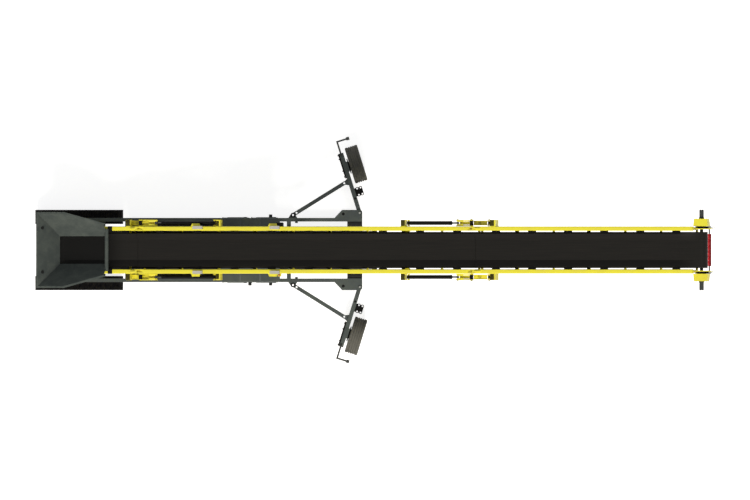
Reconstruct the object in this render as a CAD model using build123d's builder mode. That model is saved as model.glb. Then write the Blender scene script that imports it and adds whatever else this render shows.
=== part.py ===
from build123d import *
import os
from math import atan2, cos, degrees, hypot, pi, radians, sin, tan

os.makedirs("parts", exist_ok=True)

# Radial stacker conveyor on crawler tracks, millimetres, +X from hopper to discharge, +Z up.

# Setting out of the whole machine
slew_x = -8581.0
tail_hinge_x = slew_x + 1660.0
tail_hinge_z = 2400.0
conveyor_angle = 17.0
running_gap = 0.4

# Crawler tracks
track_length = 2549.0
track_height = 720.0
track_inner_y = 754.0
track_width = 411.0
shoe_count = 38
grouser_height = 16.0
chain_thickness = 50.0
track_plate = 20.0
track_plate_gap = 120.0
track_plate_top = 520.0
track_plate_bottom = 118.0
track_roller_count = 5
track_roller_radius = 62.0
cross_beam_pitch = 760.0
cross_beam_width = 180.0
cross_beam_bottom = 330.0
cross_beam_top = 530.0
pedestal_radius = 520.0
race_radius = 560.0
race_bottom = 690.0
race_top = 770.0

# Chassis
beam_inner_y = 826.0
beam_width = 105.0
beam_bottom = 850.0
beam_height = 200.0
beam_rear_x = slew_x - 560.0
beam_front_x = slew_x + 8208.0
turntable_half = 700.0
turntable_thickness = 60.0
turntable_race_radius = 480.0
cross_tube_width = 120.0
axle_beam_length = 435.0
bracket_thickness = 16.0
bracket_reach = 1165.0
bracket_rear = 811.0
bracket_step = 510.0
bracket_corner = 72.0

# Power pack
canopy_rear_x = slew_x + 4090.0
canopy_length = 1732.0
canopy_height = 640.0
canopy_sheet = 10.0
door_gap = 60.0
door_thickness = 14.0
louvre_count = 7
louvre_height = 26.0
engine_length = 1150.0
engine_width = 700.0
engine_height = 460.0
side_box_size = 100.0
side_box_height = 120.0

# Conveyor cross-section, height w measured from the rail top
rail_inner_y = 557.0
rail_width = 127.0
rail_height = 100.0
rail_corner = 28.0
main_depth = 700.0
head_depth = 580.0
tail_depth = 380.0
web_width = 60.0
lower_chord = 80.0
belt_thickness = 14.0
belt_flat = 291.0
belt_edge_y = 473.0
belt_low = -140.0
belt_edge = 5.0
return_half = 525.0
roll_radius = 60.0
return_roll_radius = 50.0

# Conveyor lengths along the belt from the tail hinge
head_hinge_u = 10240.0
hinge_w = 60.0
section_gap = 15.0
tail_end_u = -2780.0
head_rail_end_u = head_hinge_u + 6622.0
head_drum_u = head_rail_end_u + 189.0
head_drum_top = -100.0
head_drum_radius = 164.0
tail_drum_u = -2560.0
drum_shaft_radius = 50.0
drum_half = 520.0
main_idler_first = 720.0
main_idler_pitch = 1124.0
main_idler_count = 9
head_idler_first = 650.0
head_idler_pitch = 1094.0
head_idler_count = 6

# Hopper
hopper_low = -36.0
hopper_rim = 700.0
hopper_low_half = 400.0
hopper_rim_half = 1046.0
hopper_rear_low_u = -2331.0
hopper_rear_rim_u = -2775.0
hopper_bend_u = -2000.0
hopper_front_u = -892.0
hopper_front_drop = 372.0
hopper_sheet = 10.0
rim_bar = 56.0

# Fold linkage, measured from its hinge axis toward the folding section
lever_pivot = (-100.0, -130.0)
lever_tip = (-545.0, -220.0)
head_link_pin = (380.0, -320.0)
tail_link_pin = (260.0, -320.0)
head_anchor = (-2028.0, -200.0)
tail_anchor = (-2330.0, -200.0)
fold_pin_radius = 28.0
fold_centre_y = 783.0
lever_spread = 83.0
strap_spread = 57.0
plate_fold = 20.0
strap_thickness = 24.0
fold_barrel_radius = 57.0
fold_rod_radius = 25.0
fold_eye_width = 46.0

# Lift cylinders
luff_u = 210.0
luff_w = -775.0
luff_pin_radius = 40.0
lift_base_x = slew_x + 6080.0
lift_base_z = beam_bottom + beam_height + 130.0
lift_u = 7964.0
lift_w = -805.0
lift_y = 480.0
lift_barrel_radius = 72.0
lift_rod_radius = 48.0
lift_pin_radius = 32.0
lift_barrel_length = 3250.0
lift_eye = 92.0
lift_cheek = 28.0
lift_cheek_gap = 104.0

# Swing-out wheel legs
leg_pivot_x = beam_front_x - 75.0
leg_pivot_y = 1073.0
leg_angle = 17.24
leg_length = 1818.0
leg_width = 120.0
leg_height = 160.0
leg_pin_radius = 30.0
wheel_along = 1386.0
wheel_offset = 321.0
tyre_radius = 538.0
tyre_width = 376.0
rim_radius = 286.0
stay_pin_back = 1934.0
stay_pin_y = 1015.0
stay_width = 110.0
stay_height = 60.0
stay_pin_radius = 36.0
stay_hole_radius = 27.0
stay_reach = 112.0
stay_along = 957.0
stay_z = 950.0

incline = Plane(
    origin=(tail_hinge_x, 0, tail_hinge_z),
    x_dir=(cos(radians(conveyor_angle)), 0, sin(radians(conveyor_angle))),
    z_dir=(-sin(radians(conveyor_angle)), 0, cos(radians(conveyor_angle))),
)
standing = (Align.CENTER, Align.CENTER, Align.MIN)


def belt_point(u, y, w):
    """Point at a distance along the belt, across it and above its rails."""
    return incline.from_local_coords((u, y, w))


def on_belt(u, y, w):
    """Place at such a point, turned with the conveyor."""
    return incline.location * Location((u, y, w))


def side(y):
    """Side view of the conveyor: first axis along the belt, second away from it."""
    return Plane(origin=belt_point(0, y, 0), x_dir=incline.x_dir, z_dir=(0, -1, 0))


def section(u):
    """View along the conveyor: first axis across, second away from the belt."""
    return Plane(origin=belt_point(u, 0, 0), x_dir=(0, 1, 0), z_dir=incline.x_dir)


def across(u, y, w):
    """Plane square to the width of the conveyor, for rolls and shafts."""
    return Plane(origin=belt_point(u, y, w), x_dir=incline.x_dir, z_dir=(0, 1, 0))


def floor_plane(w):
    """Plane parallel to the belt at a height."""
    return Plane(origin=belt_point(0, 0, w), x_dir=incline.x_dir, z_dir=incline.z_dir)


def flank(y):
    """Side view of the chassis: first axis along, second up."""
    return Plane(origin=(0, y, 0), x_dir=(1, 0, 0), z_dir=(0, -1, 0))


def level(z):
    """Plan view at a height."""
    return Plane(origin=(0, 0, z))


def between(a, b):
    """Middle, length and slope of a bar that joins two points of a side view."""
    return (
        ((a[0] + b[0]) / 2, (a[1] + b[1]) / 2),
        hypot(b[0] - a[0], b[1] - a[1]),
        degrees(atan2(b[1] - a[1], b[0] - a[0])),
    )


rail_outer_y = rail_inner_y + rail_width
rail_mid_y = rail_inner_y + rail_width / 2
web_outer_y = rail_mid_y + web_width / 2
beam_top = beam_bottom + beam_height
beam_outer_y = beam_inner_y + beam_width
beam_mid_y = beam_inner_y + beam_width / 2
track_mid_y = track_inner_y + track_width / 2
fold_outer_y = fold_centre_y + lever_spread + plate_fold / 2
trough_slope = degrees(atan2(belt_edge - belt_low, belt_edge_y - belt_flat))
return_low = head_drum_top - 2 * (head_drum_radius + belt_thickness)
tail_drum_radius = (belt_low - return_low) / 2 - belt_thickness
tail_drum_w = (belt_low + return_low) / 2
head_drum_w = (head_drum_top + return_low) / 2

# Track chain with its shoes and grousers in the outline
outer_radius = track_height / 2
straight = track_length - track_height
shoe_radius = outer_radius - grouser_height
chain_radius = shoe_radius - chain_thickness
lap = 2 * straight + 2 * pi * shoe_radius
shoe_pitch = lap / shoe_count


def on_loop(distance, depth):
    """Point of the track loop at a distance round its shoes and a depth inside the grousers."""
    radius = outer_radius - depth
    turn = pi * shoe_radius
    distance = distance % lap
    if distance < straight:
        return (slew_x - straight / 2 + distance, outer_radius - radius)
    if distance < straight + turn:
        angle = (distance - straight) / shoe_radius - pi / 2
        return (slew_x + straight / 2 + radius * cos(angle), outer_radius + radius * sin(angle))
    if distance < 2 * straight + turn:
        return (slew_x + straight / 2 - (distance - straight - turn), outer_radius + radius)
    angle = (distance - 2 * straight - turn) / shoe_radius + pi / 2
    return (slew_x - straight / 2 + radius * cos(angle), outer_radius + radius * sin(angle))


# columns: share of the shoe pitch, depth inside the grouser tips
shoe_outline = [
    (0.00, grouser_height + 14.0),
    (0.06, grouser_height),
    (0.40, grouser_height),
    (0.44, 0.0),
    (0.56, 0.0),
    (0.60, grouser_height),
    (0.94, grouser_height),
]
shoe_points = [
    on_loop((shoe + share) * shoe_pitch, depth)
    for shoe in range(shoe_count)
    for share, depth in shoe_outline
]

# columns: node, left face of the track
tracks = [("track_left", track_inner_y + track_width), ("track_right", -track_inner_y)]
for track_name, track_face in tracks:
    with BuildPart() as track:
        with BuildSketch(flank(track_face)):
            Polygon(*shoe_points, align=None)
            with Locations((slew_x, outer_radius)):
                SlotCenterToCenter(straight, 2 * chain_radius, mode=Mode.SUBTRACT)
        extrude(amount=track_width)
    track.part.label = track_name
    export_step(track.part, "parts/%s.step" % track_name)

# Track frames with cross beams and the slew pedestal
plate_in = track_mid_y - track_plate_gap / 2
plate_out = track_mid_y + track_plate_gap / 2
plate_end = straight / 2 + 70
with BuildPart() as undercarriage:
    for plate_y in (plate_in, plate_out + track_plate):
        with BuildSketch(flank(plate_y)):
            with Locations((slew_x, (track_plate_top + track_plate_bottom) / 2)):
                Rectangle(2 * plate_end, track_plate_top - track_plate_bottom)
        extrude(amount=track_plate)
    with Locations((slew_x, track_mid_y, track_plate_top - 60)):
        Box(straight - 2 * chain_radius - 20, track_plate_gap + 4, 120)
    with BuildSketch(flank(plate_out + track_plate)):
        for cross in (-1, 1):
            cross_x = slew_x + cross * cross_beam_pitch / 2
            with Locations((cross_x, (cross_beam_top + cross_beam_bottom) / 2)):
                Rectangle(cross_beam_width, cross_beam_top - cross_beam_bottom)
    extrude(amount=plate_out + track_plate)
    mirror(about=Plane.XZ)
    with Locations((slew_x, 0, cross_beam_top - 60)):
        Cylinder(pedestal_radius, race_bottom - cross_beam_top + 60, align=standing)
    with Locations((slew_x, 0, race_bottom)):
        Cylinder(race_radius, race_top - race_bottom, align=standing)
undercarriage.part.label = "undercarriage_frame"
export_step(undercarriage.part, "parts/undercarriage_frame.step")

# Sprockets, idler wheels and rollers inside the track loops
roller_span = 2 * (straight / 2 - 260)
with BuildPart() as track_wheels:
    with BuildSketch(flank(plate_out)):
        for end in (-1, 1):
            with Locations((slew_x + end * straight / 2, outer_radius)):
                Circle(chain_radius - running_gap)
        for roller in range(track_roller_count):
            roller_x = slew_x - roller_span / 2 + roller * roller_span / (track_roller_count - 1)
            with Locations((roller_x, outer_radius - chain_radius + track_roller_radius + running_gap)):
                Circle(track_roller_radius)
    extrude(amount=track_plate_gap)
    mirror(about=Plane.XZ)
track_wheels.part.label = "track_wheels"
export_step(track_wheels.part, "parts/track_wheels.step")

# Chassis beams, turntable, cross tubes, luff posts and leg brackets
luff_pin = belt_point(luff_u, 0, luff_w)
canopy_front_x = canopy_rear_x + canopy_length
axle_beam_x = beam_front_x - axle_beam_length / 2
luff_lug_y = rail_mid_y
luff_lug_width = 60.0
post_thickness = 24.0
post_gap = 3.0
post_half = 110.0
# columns: position along, height of the tube top below the beam top
cross_tubes = [
    (beam_rear_x + 70, 110.0),
    (luff_pin.X, 0.0),
    (canopy_rear_x + 90, 40.0),
    (canopy_front_x - 90, 40.0),
    (lift_base_x, 0.0),
]
stay_pin_x = leg_pivot_x - stay_pin_back
bracket_plan = [
    (beam_front_x, beam_inner_y),
    (beam_front_x, bracket_reach),
    (beam_front_x - 247, bracket_reach),
    (leg_pivot_x - bracket_step, bracket_reach),
    (leg_pivot_x - bracket_rear + 80, beam_outer_y),
    (leg_pivot_x - bracket_rear + 80, beam_inner_y),
]
with BuildPart() as chassis:
    with BuildSketch(level(beam_bottom)):
        with Locations(((beam_rear_x + beam_front_x) / 2, beam_mid_y)):
            Rectangle(beam_front_x - beam_rear_x, beam_width)
    extrude(amount=beam_height)
    with BuildSketch(level(beam_top), level(beam_bottom - bracket_thickness)):
        Polygon(*bracket_plan, align=None)
        with Locations((leg_pivot_x, leg_pivot_y)):
            Circle(leg_pin_radius + running_gap, mode=Mode.SUBTRACT)
    extrude(amount=bracket_thickness)
    upright_edges = chassis.edges().filter_by(Axis.Z)
    outer_edges = upright_edges.filter_by_position(Axis.Y, bracket_reach - 1, bracket_reach + 1)
    fillet(outer_edges.filter_by_position(Axis.X, beam_front_x - 1, beam_front_x + 1), bracket_corner)
    for lug_z in (stay_z - stay_height / 2 - 17, stay_z + stay_height / 2 + 2):
        with BuildSketch(level(lug_z)):
            Polygon(
                (stay_pin_x - 135, beam_outer_y), (stay_pin_x - 50, stay_pin_y + 50),
                (stay_pin_x + 45, stay_pin_y + 50), (stay_pin_x + 125, beam_outer_y), align=None,
            )
        extrude(amount=15)
    with Locations((stay_pin_x, stay_pin_y, stay_z - stay_height / 2 - 25)):
        Cylinder(stay_pin_radius, stay_height + 50, align=standing)
        Cylinder(stay_hole_radius, stay_height + 50, align=standing, mode=Mode.SUBTRACT)
    with Locations((stay_pin_x + 100, beam_inner_y - 22, stay_z)):
        Box(80, 44, 90)
    with Locations((leg_pivot_x, leg_pivot_y, beam_bottom - bracket_thickness - 14)):
        Cylinder(leg_pin_radius + 14, 14, align=standing)
        Cylinder(leg_pin_radius, beam_height + 2 * bracket_thickness + 28, align=standing)
    with Locations((leg_pivot_x, leg_pivot_y, beam_top + bracket_thickness)):
        Cylinder(leg_pin_radius + 14, 20, align=standing)
    post_offset = luff_lug_width / 2 + post_gap
    for post_y in (luff_lug_y - post_offset, luff_lug_y + post_offset + post_thickness):
        with BuildSketch(flank(post_y)):
            Polygon(
                (luff_pin.X - post_half, beam_top - 20), (luff_pin.X + post_half, beam_top - 20),
                (luff_pin.X + 62, luff_pin.Z), (luff_pin.X - 62, luff_pin.Z), align=None,
            )
            with Locations((luff_pin.X, luff_pin.Z)):
                Circle(64)
        extrude(amount=post_thickness)
    with BuildSketch(flank(luff_lug_y + post_offset + post_thickness + 16)):
        with Locations((luff_pin.X, luff_pin.Z)):
            Circle(luff_pin_radius)
    extrude(amount=2 * (post_offset + post_thickness + 16))
    for lug_y in (lift_y + lift_cheek_gap / 2 + lift_cheek, lift_y - lift_cheek_gap / 2):
        with BuildSketch(flank(lug_y)):
            Polygon(
                (lift_base_x - 120, beam_top - 10), (lift_base_x + 120, beam_top - 10),
                (lift_base_x + 56, lift_base_z), (lift_base_x - 56, lift_base_z), align=None,
            )
            with Locations((lift_base_x, lift_base_z)):
                Circle(58)
        extrude(amount=lift_cheek)
    with BuildSketch(flank(lift_y + lift_cheek_gap / 2 + lift_cheek + 12)):
        with Locations((lift_base_x, lift_base_z)):
            Circle(lift_pin_radius)
    extrude(amount=lift_cheek_gap + 2 * lift_cheek + 24)
    mirror(about=Plane.XZ)
    for tube_x, drop in cross_tubes:
        with Locations((tube_x, 0, beam_bottom)):
            Box(
                cross_tube_width, 2 * beam_inner_y, beam_height - drop,
                align=standing,
            )
    with Locations((axle_beam_x, 0, beam_bottom)):
        Box(axle_beam_length, 2 * beam_inner_y, beam_height - 30, align=standing)
    with Locations((slew_x + 60, 0, beam_bottom)):
        Box(
            2 * turntable_half, 2 * beam_inner_y, turntable_thickness,
            align=standing,
        )
    with Locations((slew_x, 0, race_top + running_gap)):
        Cylinder(
            turntable_race_radius, beam_bottom - race_top - running_gap,
            align=standing,
        )
chassis.part.label = "chassis_frame"
export_step(chassis.part, "parts/chassis_frame.step")

# Belly plate under the cross tubes, from behind the luff posts to the axle beam
belly_reach = 695.0
belly_thickness = 12.0
belly_rear_x = luff_pin.X - cross_tube_width / 2 - belly_reach
belly_front_x = beam_front_x - axle_beam_length / 2
with BuildPart() as belly_plate:
    with Locations(((belly_rear_x + belly_front_x) / 2, 0, beam_bottom - belly_thickness)):
        Box(belly_front_x - belly_rear_x, 2 * (beam_inner_y - running_gap), belly_thickness, align=standing)
belly_plate.part.label = "belly_plate"
export_step(belly_plate.part, "parts/belly_plate.step")

# Power pack canopy: open-bottomed housing across the two chassis beams
canopy_mid_x = canopy_rear_x + canopy_length / 2
canopy_half = beam_outer_y - 3
with BuildPart() as canopy:
    with Locations((canopy_mid_x, 0, beam_top)):
        Box(canopy_length, 2 * canopy_half, canopy_height, align=standing)
    fillet(canopy.edges().group_by(Axis.Z)[-1], 18)
    with Locations((canopy_mid_x, 0, beam_top - 1)):
        Box(
            canopy_length - 2 * canopy_sheet, 2 * (canopy_half - canopy_sheet),
            canopy_height - canopy_sheet + 1,
            align=standing, mode=Mode.SUBTRACT,
        )
canopy.part.label = "power_canopy"
export_step(canopy.part, "parts/power_canopy.step")

# Canopy doors with louvres on both sides, and the radiator grille at the tail end
door_length = (canopy_length - 3 * door_gap) / 2
door_height = canopy_height - 2 * door_gap
with BuildPart() as doors:
    for door in (0, 1):
        door_x = canopy_rear_x + door_gap + door_length / 2 + door * (door_length + door_gap)
        with Locations((door_x, canopy_half, beam_top + door_gap)):
            Box(door_length, door_thickness, door_height, align=(Align.CENTER, Align.MIN, Align.MIN))
        for louvre in range(louvre_count):
            louvre_z = beam_top + door_gap + door_height * (0.34 + 0.56 * louvre / (louvre_count - 1))
            with Locations((door_x, canopy_half + door_thickness, louvre_z)):
                Box(door_length * 0.62, 10, louvre_height, align=(Align.CENTER, Align.MIN, Align.CENTER))
    mirror(about=Plane.XZ)
doors.part.label = "canopy_doors"
export_step(doors.part, "parts/canopy_doors.step")

grille_bars = 12
grille_width = 1000.0
grille_height = 440.0
grille_plane = Plane(
    origin=(canopy_rear_x, 0, beam_top + canopy_height / 2), x_dir=(0, -1, 0), z_dir=(-1, 0, 0),
)
with BuildPart() as grille:
    with BuildSketch(grille_plane):
        Rectangle(grille_width, grille_height)
        Rectangle(grille_width - 60, grille_height - 60, mode=Mode.SUBTRACT)
        for bar in range(grille_bars):
            with Locations((0, (grille_height - 60) * ((bar + 0.5) / grille_bars - 0.5))):
                Rectangle(grille_width - 50, 12)
    extrude(amount=20)
grille.part.label = "radiator_grille"
export_step(grille.part, "parts/radiator_grille.step")

with BuildPart() as engine:
    with Locations((canopy_mid_x, 0, beam_top - 40)):
        Box(engine_length, engine_width, engine_height, align=standing)
    for foot in (-1, 1):
        with Locations((canopy_mid_x + foot * (canopy_length / 2 - 90), 0, beam_top - 40)):
            Box(160, engine_width - 100, 30, align=standing)
    with Locations((canopy_mid_x, 0, beam_top - 40)):
        Box(canopy_length - 200, 140, 60, align=standing)
engine.part.label = "engine_block"
export_step(engine.part, "parts/engine_block.step")

# Small boxes on the outer faces of the chassis beams
side_box_x = slew_x + 5550.0
with BuildPart() as side_boxes:
    with Locations(
        (side_box_x, beam_outer_y, beam_top - side_box_height),
    ):
        Box(side_box_size, side_box_size, side_box_height, align=(Align.CENTER, Align.MIN, Align.MIN))
    mirror(about=Plane.XZ)
    with Locations((side_box_x - 600, -beam_outer_y - side_box_size, beam_top - side_box_height)):
        Box(side_box_size, side_box_size, side_box_height, align=(Align.CENTER, Align.MIN, Align.MIN))
side_boxes.part.label = "side_boxes"
export_step(side_boxes.part, "parts/side_boxes.step")


def trough(lift):
    """Belt cross-section: trough at no lift, flat sheet at full lift."""
    edge = belt_edge + (head_drum_top - belt_edge) * lift
    low = belt_low + (head_drum_top - belt_low) * lift
    edge_y = belt_edge_y + (return_half - belt_edge_y) * lift
    lean = belt_thickness * sin(radians(trough_slope)) * (1 - lift)
    drop = belt_thickness * (1 - (1 - cos(radians(trough_slope))) * (1 - lift))
    return [
        (-edge_y, edge), (-belt_flat, low), (belt_flat, low), (edge_y, edge),
        (edge_y + lean, edge - drop), (belt_flat + lean / 2, low - belt_thickness),
        (-belt_flat - lean / 2, low - belt_thickness), (-edge_y - lean, edge - drop),
    ]


# Main section truss: rounded top rails, lower chords, webs and cross ties
main_start = section_gap
main_end = head_hinge_u - section_gap
main_panels = 9
main_pitch = (main_end - main_start - web_width) / main_panels
with BuildPart() as main_truss:
    with BuildSketch(section(main_start)):
        with Locations((rail_mid_y, -rail_height / 2)):
            RectangleRounded(rail_width, rail_height, rail_corner)
        with Locations((rail_mid_y, -main_depth + lower_chord / 2)):
            Rectangle(lower_chord, lower_chord)
    extrude(amount=main_end - main_start)
    with BuildSketch(side(web_outer_y)):
        for panel in range(main_panels + 1):
            post_u = main_start + web_width / 2 + panel * main_pitch
            with Locations((post_u, -main_depth / 2)):
                Rectangle(web_width, main_depth - 40)
        for panel in range(main_panels):
            foot_u = main_start + web_width / 2 + panel * main_pitch
            low, high = (-main_depth + lower_chord / 2), -rail_height / 2
            ends = (low, high) if panel % 2 == 0 else (high, low)
            centre, length, slope = between((foot_u, ends[0]), (foot_u + main_pitch, ends[1]))
            with Locations(centre):
                Rectangle(length, web_width, rotation=slope)
    extrude(amount=web_width)
    with BuildSketch(side(luff_lug_y + luff_lug_width / 2)):
        Polygon(
            (luff_u - 150, -main_depth + 20), (luff_u + 150, -main_depth + 20),
            (luff_u + 58, luff_w), (luff_u - 58, luff_w), align=None,
        )
        with Locations((luff_u, luff_w)):
            Circle(60)
            Circle(luff_pin_radius + running_gap, mode=Mode.SUBTRACT)
    extrude(amount=luff_lug_width)
    for hinge_u, back in [(0.0, 1), (head_hinge_u, -1)]:
        for ear_y in (rail_outer_y - 6, rail_inner_y + 36):
            with BuildSketch(side(ear_y)):
                Polygon(
                    (hinge_u + back * (section_gap + 200), -6), (hinge_u + back * section_gap, -6),
                    (hinge_u + back * 12, hinge_w - 40), (hinge_u, hinge_w + 44),
                    (hinge_u + back * 40, hinge_w + 40), align=None,
                )
                with Locations((hinge_u, hinge_w)):
                    Circle(44)
            extrude(amount=30)
        with BuildSketch(side(rail_outer_y + 4)):
            with Locations((hinge_u, hinge_w)):
                Circle(fold_pin_radius)
        extrude(amount=rail_width)
    for hinge_u, sense, anchor in [(0.0, -1, tail_anchor), (head_hinge_u, 1, head_anchor)]:
        root = (hinge_u + sense * anchor[0], hinge_w + anchor[1])
        with BuildSketch(side(fold_outer_y + 8)):
            with Locations((hinge_u + sense * lever_pivot[0], hinge_w + lever_pivot[1])):
                Circle(fold_pin_radius)
        extrude(amount=fold_outer_y + 8 - rail_outer_y + 10)
        with BuildSketch(side(fold_outer_y)):
            with Locations((root[0] - sense * 140, root[1] + 20)):
                Rectangle(130, 210)
        extrude(amount=fold_outer_y - rail_outer_y + 6)
        for cheek in (-1, 1):
            with BuildSketch(side(fold_centre_y + cheek * lever_spread + plate_fold / 2)):
                Polygon(
                    (root[0] - sense * 80, root[1] - 60), (root[0] - sense * 80, root[1] + 70),
                    (root[0], root[1] + 46), (root[0], root[1] - 46), align=None,
                )
                with Locations(root):
                    Circle(47)
            extrude(amount=plate_fold)
        with BuildSketch(side(fold_outer_y)):
            with Locations(root):
                Circle(fold_pin_radius)
        extrude(amount=2 * lever_spread + plate_fold)
    for lug_y in (lift_y + lift_cheek_gap / 2 + lift_cheek, lift_y - lift_cheek_gap / 2):
        with BuildSketch(side(lug_y)):
            Polygon(
                (lift_u - 130, -main_depth + 10), (lift_u + 130, -main_depth + 10),
                (lift_u + 56, lift_w), (lift_u - 56, lift_w), align=None,
            )
            with Locations((lift_u, lift_w)):
                Circle(57)
        extrude(amount=lift_cheek)
    mirror(about=Plane.XZ)
    with Locations(on_belt(lift_u, 0, -main_depth + 40)):
        Box(200, 2 * rail_mid_y, lower_chord)
    for panel in range(main_panels + 1):
        tie_u = main_start + web_width / 2 + panel * main_pitch
        with Locations(on_belt(tie_u, 0, -main_depth + lower_chord / 2)):
            Box(web_width, 2 * rail_mid_y, web_width)
main_truss.part.label = "main_truss"
export_step(main_truss.part, "parts/main_truss.step")

# Carrying idlers with three rolls, end plates to the rails, and return rolls between truss posts
wing_from = (belt_flat + 6, belt_low - belt_thickness)
wing_to = (belt_edge_y + 8, belt_edge - belt_thickness)
wing_length = hypot(wing_to[0] - wing_from[0], wing_to[1] - wing_from[1])
wing_dir = ((wing_to[0] - wing_from[0]) / wing_length, (wing_to[1] - wing_from[1]) / wing_length)
wing_axis = (
    wing_from[0] + 26 * wing_dir[0] + (roll_radius + 2) * wing_dir[1],
    wing_from[1] + 26 * wing_dir[1] - (roll_radius + 2) * wing_dir[0],
)
roll_w = belt_low - belt_thickness - roll_radius - 0.5
base_top = roll_w - roll_radius - 12
base_height = 44.0
head_start = head_hinge_u + section_gap
head_panels = 6
head_pitch = (head_rail_end_u - head_start - web_width) / head_panels
# columns: node, stations along the belt, return rolls along the belt
idler_rows = [
    (
        "main_idlers",
        [main_idler_first + main_idler_pitch * n for n in range(main_idler_count)],
        [main_start + web_width / 2 + main_pitch * n for n in (1, 3, 5, 7)],
    ),
    (
        "head_idlers",
        [head_hinge_u + head_idler_first + head_idler_pitch * n for n in range(head_idler_count)],
        [head_start + web_width / 2 + head_pitch * n for n in (1, 3)],
    ),
    ("tail_idlers", [-350.0, -1000.0, -1500.0, -2000.0], []),
]
for idler_name, stations, returns in idler_rows:
    with BuildPart() as idlers:
        for station in stations:
            with BuildSketch(section(station - 35)):
                with Locations((0, base_top - base_height / 2)):
                    Rectangle(2 * rail_inner_y, base_height)
            extrude(amount=70)
            with BuildSketch(section(station - 45)):
                with Locations((rail_inner_y - 8, (base_top - 4) / 2)):
                    Rectangle(16, -base_top - 4)
                with Locations((8 - rail_inner_y, (base_top - 4) / 2)):
                    Rectangle(16, -base_top - 4)
            extrude(amount=90)
            with Locations(on_belt(station, rail_inner_y - 30, -10)):
                Box(230, 60, 10)
            with Locations(on_belt(station, 30 - rail_inner_y, -10)):
                Box(230, 60, 10)
            for roll_side in (-1, 1):
                with Locations(on_belt(station, roll_side * (belt_flat + 16), (base_top + roll_w) / 2)):
                    Box(60, 56, roll_w - base_top + 30)
                roll_foot = belt_point(station, roll_side * wing_axis[0], wing_axis[1])
                roll_aim = belt_point(
                    station, roll_side * (wing_axis[0] + wing_dir[0]), wing_axis[1] + wing_dir[1],
                )
                roll_plane = Plane(origin=roll_foot, x_dir=incline.x_dir, z_dir=roll_aim - roll_foot)
                with BuildSketch(roll_plane):
                    Circle(roll_radius)
                extrude(amount=wing_length - 34)
            with BuildSketch(across(station, -belt_flat + 2, roll_w)):
                Circle(roll_radius)
            extrude(amount=2 * belt_flat - 4)
        for station in returns:
            return_axis = return_low - return_roll_radius - 0.5
            with BuildSketch(across(station, -(rail_mid_y - web_width / 2), return_axis)):
                Circle(return_roll_radius)
            extrude(amount=2 * (rail_mid_y - web_width / 2))
    idlers.part.label = idler_name
    export_step(idlers.part, "parts/%s.step" % idler_name)

# Belt of the main section: carrying trough above, flat return strand below
belt_gap = 4.0
with BuildPart() as main_belt:
    with BuildSketch(section(belt_gap)):
        Polygon(*trough(0), align=None)
        with Locations((0, return_low + belt_thickness / 2)):
            Rectangle(2 * return_half, belt_thickness)
    extrude(amount=head_hinge_u - 2 * belt_gap)
main_belt.part.label = "main_belt"
export_step(main_belt.part, "parts/main_belt.step")

# Rest saddles for the folded sections, their outrigger plates, control box and stop button
saddle_length = 280.0
saddle_width = 92.0
saddle_height = 112.0
saddle_plate_y = 770.0
saddles = [1872.0, 4210.0]
with BuildPart() as rest_pads:
    for saddle in saddles:
        with Locations(on_belt(saddle, rail_outer_y - saddle_width / 2 + 12, saddle_height / 2)):
            Box(saddle_length, saddle_width, saddle_height)
    mirror(about=Plane.XZ)
rest_pads.part.label = "rest_pads"
export_step(rest_pads.part, "parts/rest_pads.step")

with BuildPart() as saddle_plates:
    for saddle in saddles:
        with BuildSketch(floor_plane(-30)):
            Polygon(
                (saddle - 228, rail_outer_y), (saddle - 190, saddle_plate_y),
                (saddle + 30, saddle_plate_y), (saddle + 62, rail_outer_y), align=None,
            )
        extrude(amount=12)
    mirror(about=Plane.XZ)
saddle_plates.part.label = "saddle_plates"
export_step(saddle_plates.part, "parts/saddle_plates.step")

control_u = saddles[1] + 108.0
with BuildPart() as control_box:
    with Locations(on_belt(control_u, rail_outer_y, -92)):
        Box(200, 104, 110, align=(Align.CENTER, Align.MIN, Align.CENTER))
control_box.part.label = "control_box"
export_step(control_box.part, "parts/control_box.step")

with BuildPart() as stop_box:
    with Locations(on_belt(control_u, -rail_outer_y, -71)):
        Box(90, 84, 80, align=(Align.CENTER, Align.MAX, Align.CENTER))
stop_box.part.label = "stop_box"
export_step(stop_box.part, "parts/stop_box.step")

with BuildPart() as stop_button:
    with Locations(on_belt(control_u, -rail_outer_y - 44, -31)):
        Cylinder(26, 34, align=standing)
stop_button.part.label = "stop_button"
export_step(stop_button.part, "parts/stop_button.step")

# Head section truss, tapering toward the drum, with bearing plates and hinge ears
ear_inner_y = rail_inner_y + 41
ear_outer_y = rail_outer_y - 41
plate_y = 625.0
drum_plate = 25.0


def head_low(u):
    """Underside of the head truss at a distance along the belt."""
    return -main_depth + (main_depth - head_depth) * (u - head_start) / (head_rail_end_u - head_start)


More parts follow.
